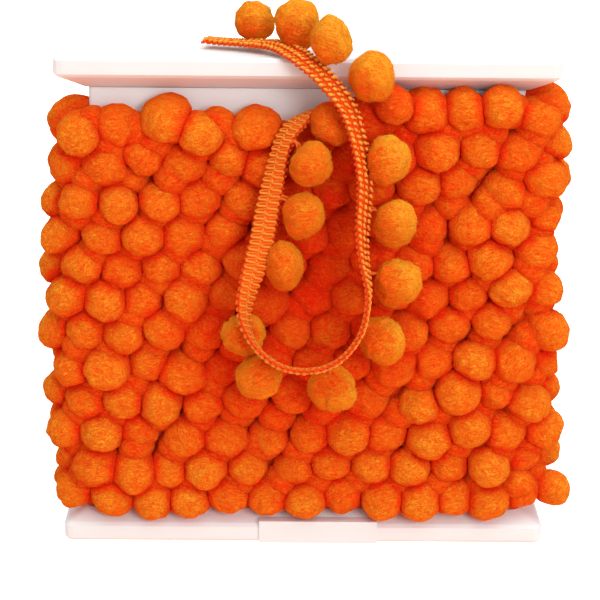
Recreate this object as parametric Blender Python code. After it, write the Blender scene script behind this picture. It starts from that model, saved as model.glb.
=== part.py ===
"""Pompom fringe trim wound on a flat moulded spool, its free end looped over the upper flange.

Frame: +X along the flanges, +Y to the back, +Z up, origin under the middle of the lower flange.
Tables are in millimetres and are scaled to metres as they are used.
"""
import math
from itertools import combinations

import bmesh
import bpy
import numpy as np
from mathutils import Vector
from mathutils.geometry import delaunay_2d_cdt

MM = 0.001

# Moulded spool
SPOOL_WIDTH = 120.0
SPOOL_DEPTH = 22.0
SPOOL_HEIGHT = 122.3
RIM_HEIGHT = 4.8
RIM_ROUND = 0.8
CORNER_ROUND = 1.5
FLARE_RISE = 3.4
PANEL_WIDTH = 104.5
PANEL_THICKNESS = 6.0
COLLAR_STEP = 1.0
BLOCK_LEFT = -11.1
BLOCK_RIGHT = 18.4
BLOCK_HEIGHT = 5.8
BLOCK_PROUD = 0.6
BLOCK_DEPTH = 3.0

# Clearance kept between neighbouring pieces
GAP = 0.3

# Wound trim
BALLS_PER_TURN = 26
BALL_RADIUS = 5.45
BALL_RADIUS_SPREAD = 0.5
FACE_REACH = 6.4
END_REACH = 5.0
REACH_INWARD = 2.6
REACH_OUTWARD = 0.3
PLACE_SPREAD = 2.3
LEAST_SPACING = 9.0
SETTLING_STEPS = 40
SETTLING_SHARE = 0.35
SETTLING_DEPTH_SHARE = 0.3
SLEEVE_REACH = 5.0
SLEEVE_BOTTOM = 7.0
SLEEVE_INNER_BOTTOM = 9.6
SLEEVE_TOP_OVER_TURN = 4.6
SLEEVE_EDGE_STEPS = 88
EDGE_CLEARANCE = 1.6
UNROLL_STEPS = 1200
LAP_MARGIN = 25.0
WIDEST_CREASE = 14.0
CREASE_SHARES = (0.32, 0.38, 0.44, 0.5, 0.56, 0.62, 0.68)
SLOPE_SHARE = 0.7
STRAY_RINGS = (1.06, 0.86, 0.55)
STRAY_SIDES = 9
LEAST_STEP = 1.1
SEED = 7

# Free end
TAPE_WIDTH = 5.8
TAPE_THICKNESS = 1.0
STRIP_WIDTH = 0.8
TIE_WIDTH = 0.8
TIE_REACH = 0.8
TAPE_STATIONS = 66
LOOSE_BALL_SEGMENTS = 12
LOOSE_BALL_RINGS = 8
ROUTE_FINENESS = 40

# Height of each turn's pompoms at the spool's left and right ends, lowest turn first
TURNS = (
    # left, right
    (11.0, 11.0),
    (19.6, 20.2),
    (28.2, 29.4),
    (36.8, 38.6),
    (45.4, 47.8),
    (54.0, 57.0),
    (62.5, 66.0),
    (71.0, 75.0),
    (79.4, 83.8),
    (87.8, 92.6),
    (96.2, 101.0),
    (104.4, 109.2),
)

# Pompoms that have slipped out of line with their turn
STRAYS = (
    # x, y, z, radius
    (62.4, -4.0, 12.4, 4.7),
    (7.6, -14.2, 106.8, 4.9),
    (20.4, -11.6, 111.7, 4.7),
)

# The last turn has no pompom between these places on the front, where the free end leaves it
FREE_END_LEFT = -9.0
FREE_END_RIGHT = 9.5

# Middle of the free tape, from the wound trim, down, round the loop, up and over the flange
ROUTE = (
    # x, y, z
    (0.2, -10.6, 110.3),
    (-1.7, -12.4, 109.1),
    (-3.5, -14.1, 107.3),
    (-5.4, -15.7, 104.4),
    (-6.6, -16.7, 101.1),
    (-7.4, -17.5, 97.5),
    (-8.8, -18.9, 90.8),
    (-9.9, -20.3, 84.8),
    (-11.1, -21.8, 78.9),
    (-12.5, -23.4, 74.0),
    (-13.7, -25.0, 69.9),
    (-14.4, -26.4, 66.0),
    (-14.0, -27.5, 62.3),
    (-12.6, -28.4, 58.9),
    (-10.4, -29.1, 56.1),
    (-7.5, -29.5, 53.8),
    (-3.9, -29.8, 52.4),
    (0.0, -29.8, 52.0),
    (3.9, -29.7, 52.6),
    (7.5, -29.3, 54.3),
    (10.5, -28.7, 57.1),
    (12.8, -27.9, 60.8),
    (14.0, -27.1, 65.3),
    (14.3, -26.4, 70.2),
    (13.8, -25.5, 76.5),
    (13.2, -24.8, 82.5),
    (13.1, -24.1, 88.8),
    (13.1, -23.3, 94.6),
    (12.6, -22.6, 100.6),
    (11.5, -21.9, 107.0),
    (9.4, -20.9, 112.9),
    (6.6, -19.4, 117.2),
    (3.4, -17.2, 120.6),
    (0.0, -14.2, 122.9),
    (-3.4, -10.2, 124.2),
    (-7.4, -5.6, 124.5),
    (-11.8, -1.8, 124.2),
    (-16.6, 1.2, 123.9),
    (-21.2, 3.2, 123.8),
    (-25.2, 4.4, 123.8),
)

# Way from the tape's plain edge to its pompom edge, at places along the tape
LEAN = (
    # distance, x, y, z
    (0.0, 0.55, -0.20, -0.80),
    (10.0, 0.95, -0.25, -0.10),
    (36.0, 0.97, 0.05, -0.20),
    (46.0, 0.80, 0.60, 0.00),
    (51.0, 0.58, 0.80, 0.05),
    (56.0, 0.25, 0.96, 0.05),
    (62.0, 0.00, 1.00, -0.10),
    (90.0, 0.05, 1.00, -0.08),
    (102.0, 0.14, 0.98, 0.00),
    (110.0, 0.33, 0.94, 0.00),
    (117.0, 0.47, 0.88, 0.00),
    (135.0, 0.55, 0.83, 0.05),
    (146.0, 0.70, 0.70, 0.15),
    (156.0, 0.75, 0.60, 0.28),
    (164.0, 0.78, 0.60, 0.20),
    (172.0, 0.70, 0.68, 0.14),
    (180.0, 0.50, 0.85, 0.12),
    (197.0, 0.15, 0.98, 0.10),
)

# Pompoms of the free end, in order along the tape
LOOSE_BALLS = (
    # x, y, z, width, height
    (1.2, -20.4, 99.5, 10.6, 10.4),
    (-1.0, -21.2, 87.4, 9.6, 11.6),
    (-4.8, -21.8, 75.7, 9.4, 11.6),
    (-14.8, -20.4, 57.6, 11.0, 10.0),
    (-11.1, -22.4, 47.8, 11.6, 11.2),
    (6.5, -22.4, 44.8, 11.4, 11.4),
    (18.0, -21.6, 57.0, 11.0, 11.4),
    (21.5, -21.4, 71.2, 10.6, 12.0),
    (20.3, -21.4, 85.4, 10.4, 12.0),
    (19.3, -20.6, 101.0, 10.4, 11.8),
    (14.6, -17.9, 119.6, 11.4, 11.4),
    (6.1, -15.6, 127.9, 9.6, 11.8),
    (-2.6, -4.6, 129.9, 10.0, 10.4),
    (-12.8, 4.6, 128.6, 9.6, 9.8),
)


def clear_scene():
    for item in list(bpy.data.objects):
        bpy.data.objects.remove(item)


def make_material(name, color, roughness):
    material = bpy.data.materials.new(name)
    material.use_nodes = True
    shader = material.node_tree.nodes["Principled BSDF"]
    shader.inputs["Base Color"].default_value = (*color, 1.0)
    shader.inputs["Roughness"].default_value = roughness
    shader.inputs["Metallic"].default_value = 0.0
    return material


def make_object(name, mesh_builder, material, smooth_angle=None):
    """Turn a bmesh in millimetres into a named object in metres."""
    mesh = bpy.data.meshes.new(name)
    bmesh.ops.scale(mesh_builder, vec=(MM, MM, MM), verts=mesh_builder.verts)
    bmesh.ops.recalc_face_normals(mesh_builder, faces=mesh_builder.faces)
    mesh_builder.to_mesh(mesh)
    mesh_builder.free()
    mesh.materials.append(material)
    if smooth_angle is not None:
        mesh.shade_smooth()
        mesh.set_sharp_from_angle(angle=math.radians(smooth_angle))
    item = bpy.data.objects.new(name, mesh)
    bpy.context.scene.collection.objects.link(item)
    return item


def join_rings(builder, rings, closed=False, capped=True):
    """Skin a list of equal vertex rings; closed runs the last ring back to the first."""
    pairs = list(zip(rings, rings[1:]))
    if closed:
        pairs.append((rings[-1], rings[0]))
    for lower, upper in pairs:
        for index, vertex in enumerate(lower):
            following = (index + 1) % len(lower)
            builder.faces.new((vertex, lower[following], upper[following], upper[index]))
    if capped and not closed:
        builder.faces.new(rings[0])
        builder.faces.new(rings[-1])


# Moulded spool

def rounded_rectangle(width, depth, radius, steps=3):
    """Corner points of a rectangle with round corners, counter-clockwise."""
    points = []
    for quarter, (side_x, side_y) in enumerate(((1, 1), (-1, 1), (-1, -1), (1, -1))):
        center_x = side_x * (width / 2 - radius)
        center_y = side_y * (depth / 2 - radius)
        for step in range(steps + 1):
            angle = math.radians(90.0 * (quarter + step / steps))
            points.append((center_x + radius * math.cos(angle), center_y + radius * math.sin(angle)))
    return points


def stacked_solid(sections):
    """Skin rounded rectangles given as (width, depth, corner radius, height)."""
    builder = bmesh.new()
    rings = []
    for width, depth, radius, height in sections:
        outline = rounded_rectangle(width, depth, radius)
        rings.append([builder.verts.new((x, y, height)) for x, y in outline])
    join_rings(builder, rings)
    return builder


def flange_sections():
    """Sections of the lower flange, from its foot up to its collar."""
    inset_width = SPOOL_WIDTH - 2 * RIM_ROUND
    inset_depth = SPOOL_DEPTH - 2 * RIM_ROUND
    collar_width = PANEL_WIDTH + 2 * COLLAR_STEP
    collar_depth = PANEL_THICKNESS + 2 * COLLAR_STEP
    return [
        (inset_width, inset_depth, CORNER_ROUND, 0.0),
        (SPOOL_WIDTH, SPOOL_DEPTH, CORNER_ROUND + RIM_ROUND, RIM_ROUND),
        (SPOOL_WIDTH, SPOOL_DEPTH, CORNER_ROUND + RIM_ROUND, RIM_HEIGHT - RIM_ROUND),
        (inset_width, inset_depth, CORNER_ROUND, RIM_HEIGHT),
        (collar_width, collar_depth, COLLAR_STEP, RIM_HEIGHT + FLARE_RISE),
    ]


def make_flange_bottom(material):
    flange = make_object("flange_bottom", stacked_solid(flange_sections()), material, 30)
    block = bmesh.new()
    bmesh.ops.create_cube(block, size=1.0)
    width = BLOCK_RIGHT - BLOCK_LEFT
    front = -SPOOL_DEPTH / 2 - BLOCK_PROUD
    bmesh.ops.scale(block, vec=(width, BLOCK_DEPTH, BLOCK_HEIGHT), verts=block.verts)
    place = Vector(((BLOCK_LEFT + BLOCK_RIGHT) / 2, front + BLOCK_DEPTH / 2, BLOCK_HEIGHT / 2))
    bmesh.ops.translate(block, vec=place, verts=block.verts)
    add_union(flange, make_object("plain_block", block, material))
    return flange


def make_flange_top(material):
    sections = [(width, depth, radius, SPOOL_HEIGHT - height)
                for width, depth, radius, height in flange_sections()]
    return make_object("flange_top", stacked_solid(sections), material, 30)


def make_core_panel(material):
    low = RIM_HEIGHT + FLARE_RISE + GAP
    high = SPOOL_HEIGHT - low
    sections = [(PANEL_WIDTH, PANEL_THICKNESS, COLLAR_STEP, height) for height in (low, high)]
    return make_object("core_panel", stacked_solid(sections), material, 30)


def add_union(target, other):
    """Keep another object as a hidden union operand."""
    other.hide_render = True
    other.display_type = "WIRE"
    modifier = target.modifiers.new("union_" + other.name, "BOOLEAN")
    modifier.operation = "UNION"
    modifier.solver = "EXACT"
    modifier.object = other


# Wound trim

def panel_stretches():
    """Straight and round stretches of the way round the panel, from the front left."""
    half_width = PANEL_WIDTH / 2
    half_depth = PANEL_THICKNESS / 2
    arc = math.pi / 2 * FACE_REACH
    return (
        # length, start x, start y, step x, step y, first angle, turned angle
        (PANEL_WIDTH, -half_width, -half_depth, 1, 0, -90, 0),
        (arc, half_width, -half_depth, 0, 0, -90, 90),
        (PANEL_THICKNESS, half_width, -half_depth, 0, 1, 0, 0),
        (arc, half_width, half_depth, 0, 0, 0, 90),
        (PANEL_WIDTH, half_width, half_depth, -1, 0, 90, 0),
        (arc, -half_width, half_depth, 0, 0, 90, 90),
        (PANEL_THICKNESS, -half_width, half_depth, 0, -1, 180, 0),
        (arc, -half_width, -half_depth, 0, 0, 180, 90),
    )


def turn_length():
    return sum(stretch[0] for stretch in panel_stretches())


def around_panel(distance):
    """Foot points on the panel and outward directions, at distances round it."""
    along = np.asarray(distance) % turn_length()
    foot = np.zeros((len(along), 2))
    outward = np.zeros((len(along), 2))
    start = 0.0
    for length, x, y, step_x, step_y, first, turned in panel_stretches():
        inside = (along >= start) & (along <= start + length)
        travelled = along[inside] - start
        angle = np.radians(first + turned * travelled / length)
        foot[inside] = np.stack((x + step_x * travelled, y + step_y * travelled), axis=1)
        outward[inside] = np.stack((np.cos(angle), np.sin(angle)), axis=1)
        start += length
    return foot, outward


def turn_height(turn, x):
    """Height of a turn's pompoms at a place across the spool."""
    left, right = TURNS[turn]
    across = np.clip(x / PANEL_WIDTH + 0.5, 0.0, 1.0)
    return left + (right - left) * across


def lowest_rest(centers, radii):
    """Lowest height at which a pompom still clears the flared face of the lower flange."""
    beyond_face = np.abs(centers[:, 1]) - PANEL_THICKNESS / 2 - COLLAR_STEP
    beyond_end = np.abs(centers[:, 0]) - PANEL_WIDTH / 2 - COLLAR_STEP
    overhang = (SPOOL_DEPTH - PANEL_THICKNESS) / 2 - COLLAR_STEP
    share = np.clip(np.maximum(beyond_face, beyond_end) / overhang, 0.0, 1.0)
    return RIM_HEIGHT + FLARE_RISE * (1.0 - share) + radii + GAP


def wound_balls():
    """Centres and radii of the pompoms, set in turns, moved a little and pushed apart."""
    chance = np.random.default_rng(SEED)
    centers = []
    radii = []
    for turn in range(len(TURNS)):
        shift = 0.3 + 0.5 * (turn % 2)
        distance = (np.arange(BALLS_PER_TURN) + shift) / BALLS_PER_TURN * turn_length()
        foot, outward = around_panel(distance)
        endward = np.abs(outward[:, 0])
        reach = FACE_REACH + (END_REACH - FACE_REACH) * endward
        reach = reach + chance.uniform(-REACH_INWARD, REACH_OUTWARD, BALLS_PER_TURN)
        along = chance.uniform(-PLACE_SPREAD, PLACE_SPREAD, BALLS_PER_TURN)
        up = chance.uniform(-PLACE_SPREAD, PLACE_SPREAD, BALLS_PER_TURN)
        size = BALL_RADIUS + chance.uniform(-BALL_RADIUS_SPREAD, BALL_RADIUS_SPREAD, BALLS_PER_TURN)
        x = foot[:, 0] + outward[:, 0] * reach - outward[:, 1] * along
        y = foot[:, 1] + outward[:, 1] * reach + outward[:, 0] * along
        z = turn_height(turn, x) + up
        kept = np.ones(BALLS_PER_TURN, dtype=bool)
        if turn == len(TURNS) - 1:
            kept = ~((y < 0) & (x > FREE_END_LEFT) & (x < FREE_END_RIGHT))
        centers.append(np.stack((x, y, z), axis=1)[kept])
        radii.append(size[kept])
    centers = np.concatenate(centers)
    radii = np.concatenate(radii)
    strays = np.array(STRAYS)
    fixed = len(centers)
    centers = np.concatenate((centers, strays[:, :3]))
    radii = np.concatenate((radii, strays[:, 3]))
    return settle(centers, radii, fixed)


def settle(centers, radii, fixed):
    """Push pompoms that crowd each other apart over the panel; those from index fixed on stay put."""
    highest = turn_height(len(TURNS) - 1, centers[:, 0]) + PLACE_SPREAD
    for _ in range(SETTLING_STEPS):
        away = centers[:, None, :] - centers[None, :, :]
        distance = np.linalg.norm(away, axis=2) + np.eye(len(centers)) * LEAST_SPACING
        crowding = np.clip(LEAST_SPACING - distance, 0.0, None)
        push = (away / distance[:, :, None] * crowding[:, :, None]).sum(axis=1)
        push[fixed:] = 0.0
        push[:, 1] *= SETTLING_DEPTH_SHARE
        centers += push * SETTLING_SHARE
        low = lowest_rest(centers, radii)
        centers[:fixed, 2] = np.clip(centers[:fixed, 2], low[:fixed], highest[:fixed])
    return centers, radii


def unrolled(centers):
    """Places of the pompoms on the sleeve laid flat: distance round the panel, and height."""
    distance = np.arange(UNROLL_STEPS) / UNROLL_STEPS * turn_length()
    foot, outward = around_panel(distance)
    toward = centers[:, None, :2] - foot[None, :, :]
    along = (toward * outward[None, :, :]).sum(axis=2)
    beside = (toward ** 2).sum(axis=2) - along ** 2
    beside[along < 0] = np.inf
    return np.stack((distance[beside.argmin(axis=1)], centers[:, 2]), axis=1)


def sleeve_reach(flat, centers, radii):
    """How far the pompoms stand out from the panel at places on the flat sleeve."""
    foot, outward = around_panel(flat[:, 0])
    start = np.column_stack((foot, flat[:, 1]))
    toward = centers[None, :, :] - start[:, None, :]
    along = (toward[:, :, :2] * outward[:, None, :]).sum(axis=2)
    beside = (toward ** 2).sum(axis=2) - along ** 2
    hit = (beside < radii ** 2) & (along > 0)
    surface = np.where(hit, along + np.sqrt(np.clip(radii ** 2 - beside, 0.0, None)), 0.0)
    return np.maximum(SLEEVE_REACH, surface.max(axis=1))


def same_lap(flat, beside):
    """The flat place moved by whole laps to lie near another."""
    laps = np.round((flat[0] - beside[0]) / turn_length())
    return flat - np.array((laps * turn_length(), 0.0))


def flat_triangles(flat):
    """Delaunay triangles over the flat sleeve, which meets itself after one lap."""
    length = turn_length()
    places = []
    owners = []
    for lap in (-1, 0, 1):
        distance = flat[:, 0] + lap * length
        for index in np.nonzero((distance > -LAP_MARGIN) & (distance < length + LAP_MARGIN))[0]:
            places.append(Vector((distance[index], flat[index, 1])))
            owners.append(int(index))
    corners, _, faces, sources, _, _ = delaunay_2d_cdt(places, [], [], 0, 1e-6)
    triangles = []
    for face in faces:
        middle = sum(corners[corner][0] for corner in face) / 3
        if 0.0 <= middle < length:
            triangles.append(tuple(owners[sources[corner][0]] for corner in face))
    return triangles


def stray_places(crowns, radii):
    """Flat places in rings over and around the pompoms that stand out of line."""
    turned = np.arange(STRAY_SIDES) / STRAY_SIDES * 2 * math.pi
    ring = np.stack((np.cos(turned), np.sin(turned)), axis=1)
    pompoms = zip(crowns[-len(STRAYS):], radii[-len(STRAYS):])
    return [crown + ring * radius * share for crown, radius in pompoms for share in STRAY_RINGS]


def surface_places(centers, radii):
    """Flat places on the pompoms' crowns, on their slopes, and in the creases and hollows between."""
    crowns = unrolled(centers)
    places = list(crowns) + list(np.concatenate(stray_places(crowns, radii)))
    pairs = set()
    for corners in flat_triangles(crowns):
        first = crowns[corners[0]]
        near = [same_lap(crowns[corner], first) for corner in corners]
        places.append(np.mean(near, axis=0))
        pairs.update(tuple(sorted(pair)) for pair in combinations(corners, 2))
    shares = np.array(CREASE_SHARES)[:, None]
    for first, second in sorted(pairs):
        start = crowns[first]
        end = same_lap(crowns[second], start)
        if np.linalg.norm(end - start) > WIDEST_CREASE:
            continue
        way = start + shares * (end - start)
        crease = way[sleeve_reach(way, centers, radii).argmin()]
        places.append(crease)
        places.append(start + (crease - start) * SLOPE_SHARE)
        places.append(end + (crease - end) * SLOPE_SHARE)
    return np.array(places)


def sleeve_top(flat_distance):
    """Height of the sleeve's upper edge at distances round the panel."""
    foot, _ = around_panel(flat_distance)
    return turn_height(len(TURNS) - 1, foot[:, 0]) + SLEEVE_TOP_OVER_TURN


def spread_out(places, edge):
    """The places that keep clear of the sleeve's edges and of each other, after those of its edges."""
    length = turn_length()
    kept = edge
    top = sleeve_top(places[:, 0])
    above = places[:, 1] > SLEEVE_BOTTOM + EDGE_CLEARANCE
    for place in places[above & (places[:, 1] < top - EDGE_CLEARANCE)]:
        across = np.abs(kept[:, 0] - place[0] % length)
        across = np.minimum(across, length - across)
        if np.hypot(across, kept[:, 1] - place[1]).min() > LEAST_STEP:
            kept = np.vstack((kept, (place[0] % length, place[1])))
    return kept


def make_wound_trim(material):
    """One closed sleeve: the pompoms' surface outside, a plain wall along the panel inside."""
    centers, radii = wound_balls()
    steps = SLEEVE_EDGE_STEPS
    distance = np.arange(steps) / steps * turn_length()
    top = sleeve_top(distance)
    bottom_edge = np.stack((distance, np.full(steps, SLEEVE_BOTTOM)), axis=1)
    top_edge = np.stack((distance, top), axis=1)
    flat = spread_out(surface_places(centers, radii), np.vstack((bottom_edge, top_edge)))
    foot, outward = around_panel(flat[:, 0])
    outer = foot + outward * sleeve_reach(flat, centers, radii)[:, None]
    builder = bmesh.new()
    skin = [builder.verts.new((x, y, z)) for (x, y), z in zip(outer, flat[:, 1])]
    for corners in flat_triangles(flat):
        on_bottom_edge = max(corners) < steps
        on_top_edge = min(corners) >= steps and max(corners) < 2 * steps
        if not on_bottom_edge and not on_top_edge:
            builder.faces.new([skin[corner] for corner in corners])
    inner = (foot + outward * GAP)[:steps]
    inner_bottom = [builder.verts.new((x, y, SLEEVE_INNER_BOTTOM)) for x, y in inner]
    inner_top = [builder.verts.new((x, y, height)) for (x, y), height in zip(inner, top)]
    join_rings(builder, (skin[:steps], inner_bottom, inner_top, skin[steps:2 * steps]), capped=False)
    return make_object("wound_trim", builder, material, 60)


# Free end

def spline_bends(points, steps):
    """Second derivatives of the natural cubic spline at its knots."""
    size = len(points)
    matrix = np.eye(size)
    right = np.zeros((size, 3))
    for index in range(1, size - 1):
        before, after = steps[index - 1], steps[index]
        matrix[index, index - 1:index + 2] = (before, 2 * (before + after), after)
        slope_before = (points[index] - points[index - 1]) / before
        slope_after = (points[index + 1] - points[index]) / after
        right[index] = 6 * (slope_after - slope_before)
    return np.linalg.solve(matrix, right)


def spline_points(points, knots, bends, places):
    """Points of the spline at places measured along its chords."""
    steps = np.diff(knots)
    span = np.clip(np.searchsorted(knots, places, side="right") - 1, 0, len(steps) - 1)
    step = steps[span][:, None]
    ahead = (knots[span + 1] - places)[:, None]
    passed = (places - knots[span])[:, None]
    cubic = (bends[span] * ahead ** 3 + bends[span + 1] * passed ** 3) / (6 * step)
    low = points[span] / step - bends[span] * step / 6
    high = points[span + 1] / step - bends[span + 1] * step / 6
    return cubic + low * ahead + high * passed


def chord_lengths(points):
    steps = np.linalg.norm(np.diff(points, axis=0), axis=1)
    return np.concatenate(((0.0,), np.cumsum(steps)))


def smooth_route(points, count):
    """Evenly spaced points of the natural cubic spline through the route, and its length."""
    points = np.asarray(points, dtype=float)
    knots = chord_lengths(points)
    bends = spline_bends(points, np.diff(knots))
    fine_places = np.linspace(0.0, knots[-1], ROUTE_FINENESS * len(points))
    lengths = chord_lengths(spline_points(points, knots, bends, fine_places))
    places = np.interp(np.linspace(0.0, lengths[-1], count), lengths, fine_places)
    return spline_points(points, knots, bends, places), lengths[-1]


def tape_frame(count):
    """Middle points of the tape, its way along, its way to the pompom edge, and its face direction."""
    middle, length = smooth_route(ROUTE, count)
    along = np.gradient(middle, axis=0)
    along /= np.linalg.norm(along, axis=1)[:, None]
    table = np.array(LEAN)
    distance = np.linspace(0.0, length, count)
    lean = np.stack([np.interp(distance, table[:, 0], table[:, axis]) for axis in (1, 2, 3)], axis=1)
    lean -= (lean * along).sum(axis=1)[:, None] * along
    lean /= np.linalg.norm(lean, axis=1)[:, None]
    return middle, along, lean, np.cross(along, lean)


def ribbon(middle, lean, face, from_width, to_width, thickness):
    """A flat band between two offsets across the tape."""
    builder = bmesh.new()
    rings = []
    for center, side, up in zip(middle, lean, face):
        half = up * thickness / 2
        corners = (center + side * from_width - half, center + side * to_width - half,
                   center + side * to_width + half, center + side * from_width + half)
        rings.append([builder.verts.new(corner) for corner in corners])
    join_rings(builder, rings)
    return builder


def make_loose_tape(material):
    middle, _, lean, face = tape_frame(TAPE_STATIONS)
    edge = TAPE_WIDTH / 2 - STRIP_WIDTH - GAP
    band = ribbon(middle, lean, face, -TAPE_WIDTH / 2, edge, TAPE_THICKNESS)
    return make_object("loose_tape", band, material)


def loose_ball(center, width, height):
    builder = bmesh.new()
    bmesh.ops.create_uvsphere(
        builder, u_segments=LOOSE_BALL_SEGMENTS, v_segments=LOOSE_BALL_RINGS, radius=0.5)
    bmesh.ops.scale(builder, vec=(width, width, height), verts=builder.verts)
    bmesh.ops.translate(builder, vec=center, verts=builder.verts)
    return builder


def loose_tie(center, root, way_along):
    """A square tie from the tape's edge into a pompom."""
    builder = bmesh.new()
    reach = center - root
    side = (way_along - way_along.project(reach)).normalized() * TIE_WIDTH / 2
    up = reach.normalized().cross(side)
    rings = []
    for place in (root, root + reach * TIE_REACH):
        corners = (side + up, up - side, -side - up, side - up)
        rings.append([builder.verts.new(place + corner) for corner in corners])
    join_rings(builder, rings)
    return builder


def make_loose_fringe(material):
    middle, along, lean, face = tape_frame(TAPE_STATIONS)
    outer = TAPE_WIDTH / 2
    strip = ribbon(middle, lean, face, outer - STRIP_WIDTH, outer, TAPE_THICKNESS)
    fringe = make_object("loose_fringe", strip, material, 50)
    edge = middle + lean * (outer - STRIP_WIDTH / 2)
    for index, (x, y, z, width, height) in enumerate(LOOSE_BALLS):
        center = Vector((x, y, z))
        nearest = np.linalg.norm(edge - np.array(center), axis=1).argmin()
        tie = loose_tie(center, Vector(edge[nearest]), Vector(along[nearest]))
        ball = loose_ball(center, width, height)
        add_union(fringe, make_object(f"loose_ball_{index}", ball, material))
        add_union(fringe, make_object(f"loose_tie_{index}", tie, material))
    return fringe


def main():
    clear_scene()
    plastic = make_material("white_moulded_plastic", (0.9, 0.88, 0.86), 0.45)
    felted_yarn = make_material("orange_felted_yarn", (0.9, 0.24, 0.02), 0.9)
    tape_yarn = make_material("orange_tape_yarn", (0.92, 0.27, 0.03), 0.6)
    make_flange_bottom(plastic)
    make_flange_top(plastic)
    make_core_panel(plastic)
    make_wound_trim(felted_yarn)
    make_loose_tape(tape_yarn)
    make_loose_fringe(felted_yarn)


main()
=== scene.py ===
# %% [markdown]
# # Pompom fringe trim on a flat spool
# This trim is a narrow crocheted tape with a felted yarn pompom tied to one edge every 13 mm or so. It is
# wound twelve turns high on a flat moulded spool, and its free end hangs in a loop and crosses over the
# upper flange.
#
# The solids come from a fixed frame and hold the real sizes. Here they are dressed: hard solids stay and
# get a finish, and soft ones are replaced by finer meshes that fill the same space. Sizes are in
# millimetres until a mesh is made.

# %% Load the frame
import math

import bmesh
import bpy
import numpy as np
from mathutils import Matrix, Vector


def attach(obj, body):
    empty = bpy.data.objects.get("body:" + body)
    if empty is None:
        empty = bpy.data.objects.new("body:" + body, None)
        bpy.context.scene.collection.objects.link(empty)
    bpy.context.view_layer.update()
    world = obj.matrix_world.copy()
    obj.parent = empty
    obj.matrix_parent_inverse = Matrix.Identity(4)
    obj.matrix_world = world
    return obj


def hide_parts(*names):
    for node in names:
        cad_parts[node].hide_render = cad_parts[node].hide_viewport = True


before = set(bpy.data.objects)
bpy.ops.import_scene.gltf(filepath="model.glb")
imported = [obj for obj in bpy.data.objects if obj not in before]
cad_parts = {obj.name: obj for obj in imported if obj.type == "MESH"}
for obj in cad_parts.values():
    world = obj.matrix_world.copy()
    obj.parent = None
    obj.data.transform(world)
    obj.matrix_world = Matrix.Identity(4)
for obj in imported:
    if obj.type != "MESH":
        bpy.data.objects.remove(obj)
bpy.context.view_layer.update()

MM = 0.001


def add_object(name, data):
    """A new object in the scene."""
    item = bpy.data.objects.new(name, data)
    bpy.context.scene.collection.objects.link(item)
    return item


print("solids:", sorted(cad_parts))

# %% [markdown]
# ## The camera
# A product photographer stands half a metre away with a long lens and looks slightly down, so that the
# pompoms on the upper flange can be seen. A camera can be aimed by hand or with a constraint. Here two
# angles place it on a sphere round a target and a third rolls it by half a degree, which keeps every number
# meaningful.

# %% Camera
CAMERA_TARGET = Vector((-1.3, 0.0, 60.2))
CAMERA_DISTANCE = 502.0
CAMERA_PITCH = math.radians(17.0)
CAMERA_YAW = math.radians(-0.47)
CAMERA_ROLL = math.radians(0.56)
CAMERA_LENS = 121.68


def make_camera():
    turned_x, turned_y = math.sin(CAMERA_YAW), -math.cos(CAMERA_YAW)
    shrink, rise = math.cos(CAMERA_PITCH), math.sin(CAMERA_PITCH)
    back = Vector((turned_x * shrink, turned_y * shrink, rise))
    level = (-back).cross(Vector((0.0, 0.0, 1.0))).normalized()
    upright = level.cross(-back)
    right = level * math.cos(CAMERA_ROLL) + upright * math.sin(CAMERA_ROLL)
    up = upright * math.cos(CAMERA_ROLL) - level * math.sin(CAMERA_ROLL)
    camera = add_object("camera", bpy.data.cameras.new("camera"))
    camera.data.lens = CAMERA_LENS
    camera.data.sensor_width = 36.0
    camera.data.clip_start = 0.01
    camera.data.clip_end = 20.0
    camera.matrix_world = Matrix((right, up, back)).transposed().to_4x4()
    camera.location = (CAMERA_TARGET + back * CAMERA_DISTANCE) * MM
    bpy.context.scene.camera = camera
    return camera


camera = make_camera()
print("camera at", [round(value, 3) for value in camera.location])

# %% [markdown]
# ## The way of the free tape
# The last stretch of the trim leaves the top turn, hangs down, turns back up and crosses over the flange,
# where it ends in a plain cut. A hanging tape could be simulated, but its ends and its lowest point are
# known, so given points with a natural cubic spline through them are surer. The points are the plain
# solid's own. The crocheted tape hangs a little less evenly, so a short table sets it up to 1.3 mm aside
# from them. Another says which way the pompom edge faces, because the tape twists.

# %% Route of the free tape
ROUTE = np.array((
    # x, y, z
    (0.2, -10.6, 110.3), (-1.7, -12.4, 109.1), (-3.5, -14.1, 107.3), (-5.4, -15.7, 104.4),
    (-6.6, -16.7, 101.1), (-7.4, -17.5, 97.5), (-8.8, -18.9, 90.8), (-9.9, -20.3, 84.8),
    (-11.1, -21.8, 78.9), (-12.5, -23.4, 74.0), (-13.7, -25.0, 69.9), (-14.4, -26.4, 66.0),
    (-14.0, -27.5, 62.3), (-12.6, -28.4, 58.9), (-10.4, -29.1, 56.1), (-7.5, -29.5, 53.8),
    (-3.9, -29.8, 52.4), (0.0, -29.8, 52.0), (3.9, -29.7, 52.6), (7.5, -29.3, 54.3),
    (10.5, -28.7, 57.1), (12.8, -27.9, 60.8), (14.0, -27.1, 65.3), (14.3, -26.4, 70.2),
    (13.8, -25.5, 76.5), (13.2, -24.8, 82.5), (13.1, -24.1, 88.8), (13.1, -23.3, 94.6),
    (12.6, -22.6, 100.6), (11.5, -21.9, 107.0), (9.4, -20.9, 112.9), (6.6, -19.4, 117.2),
    (3.4, -17.2, 120.6), (0.0, -14.2, 122.9), (-3.4, -10.2, 124.2), (-7.4, -5.6, 124.5),
    (-11.8, -1.8, 124.2), (-16.6, 1.2, 123.9), (-21.2, 3.2, 123.8), (-25.2, 4.4, 123.8),
))
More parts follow.
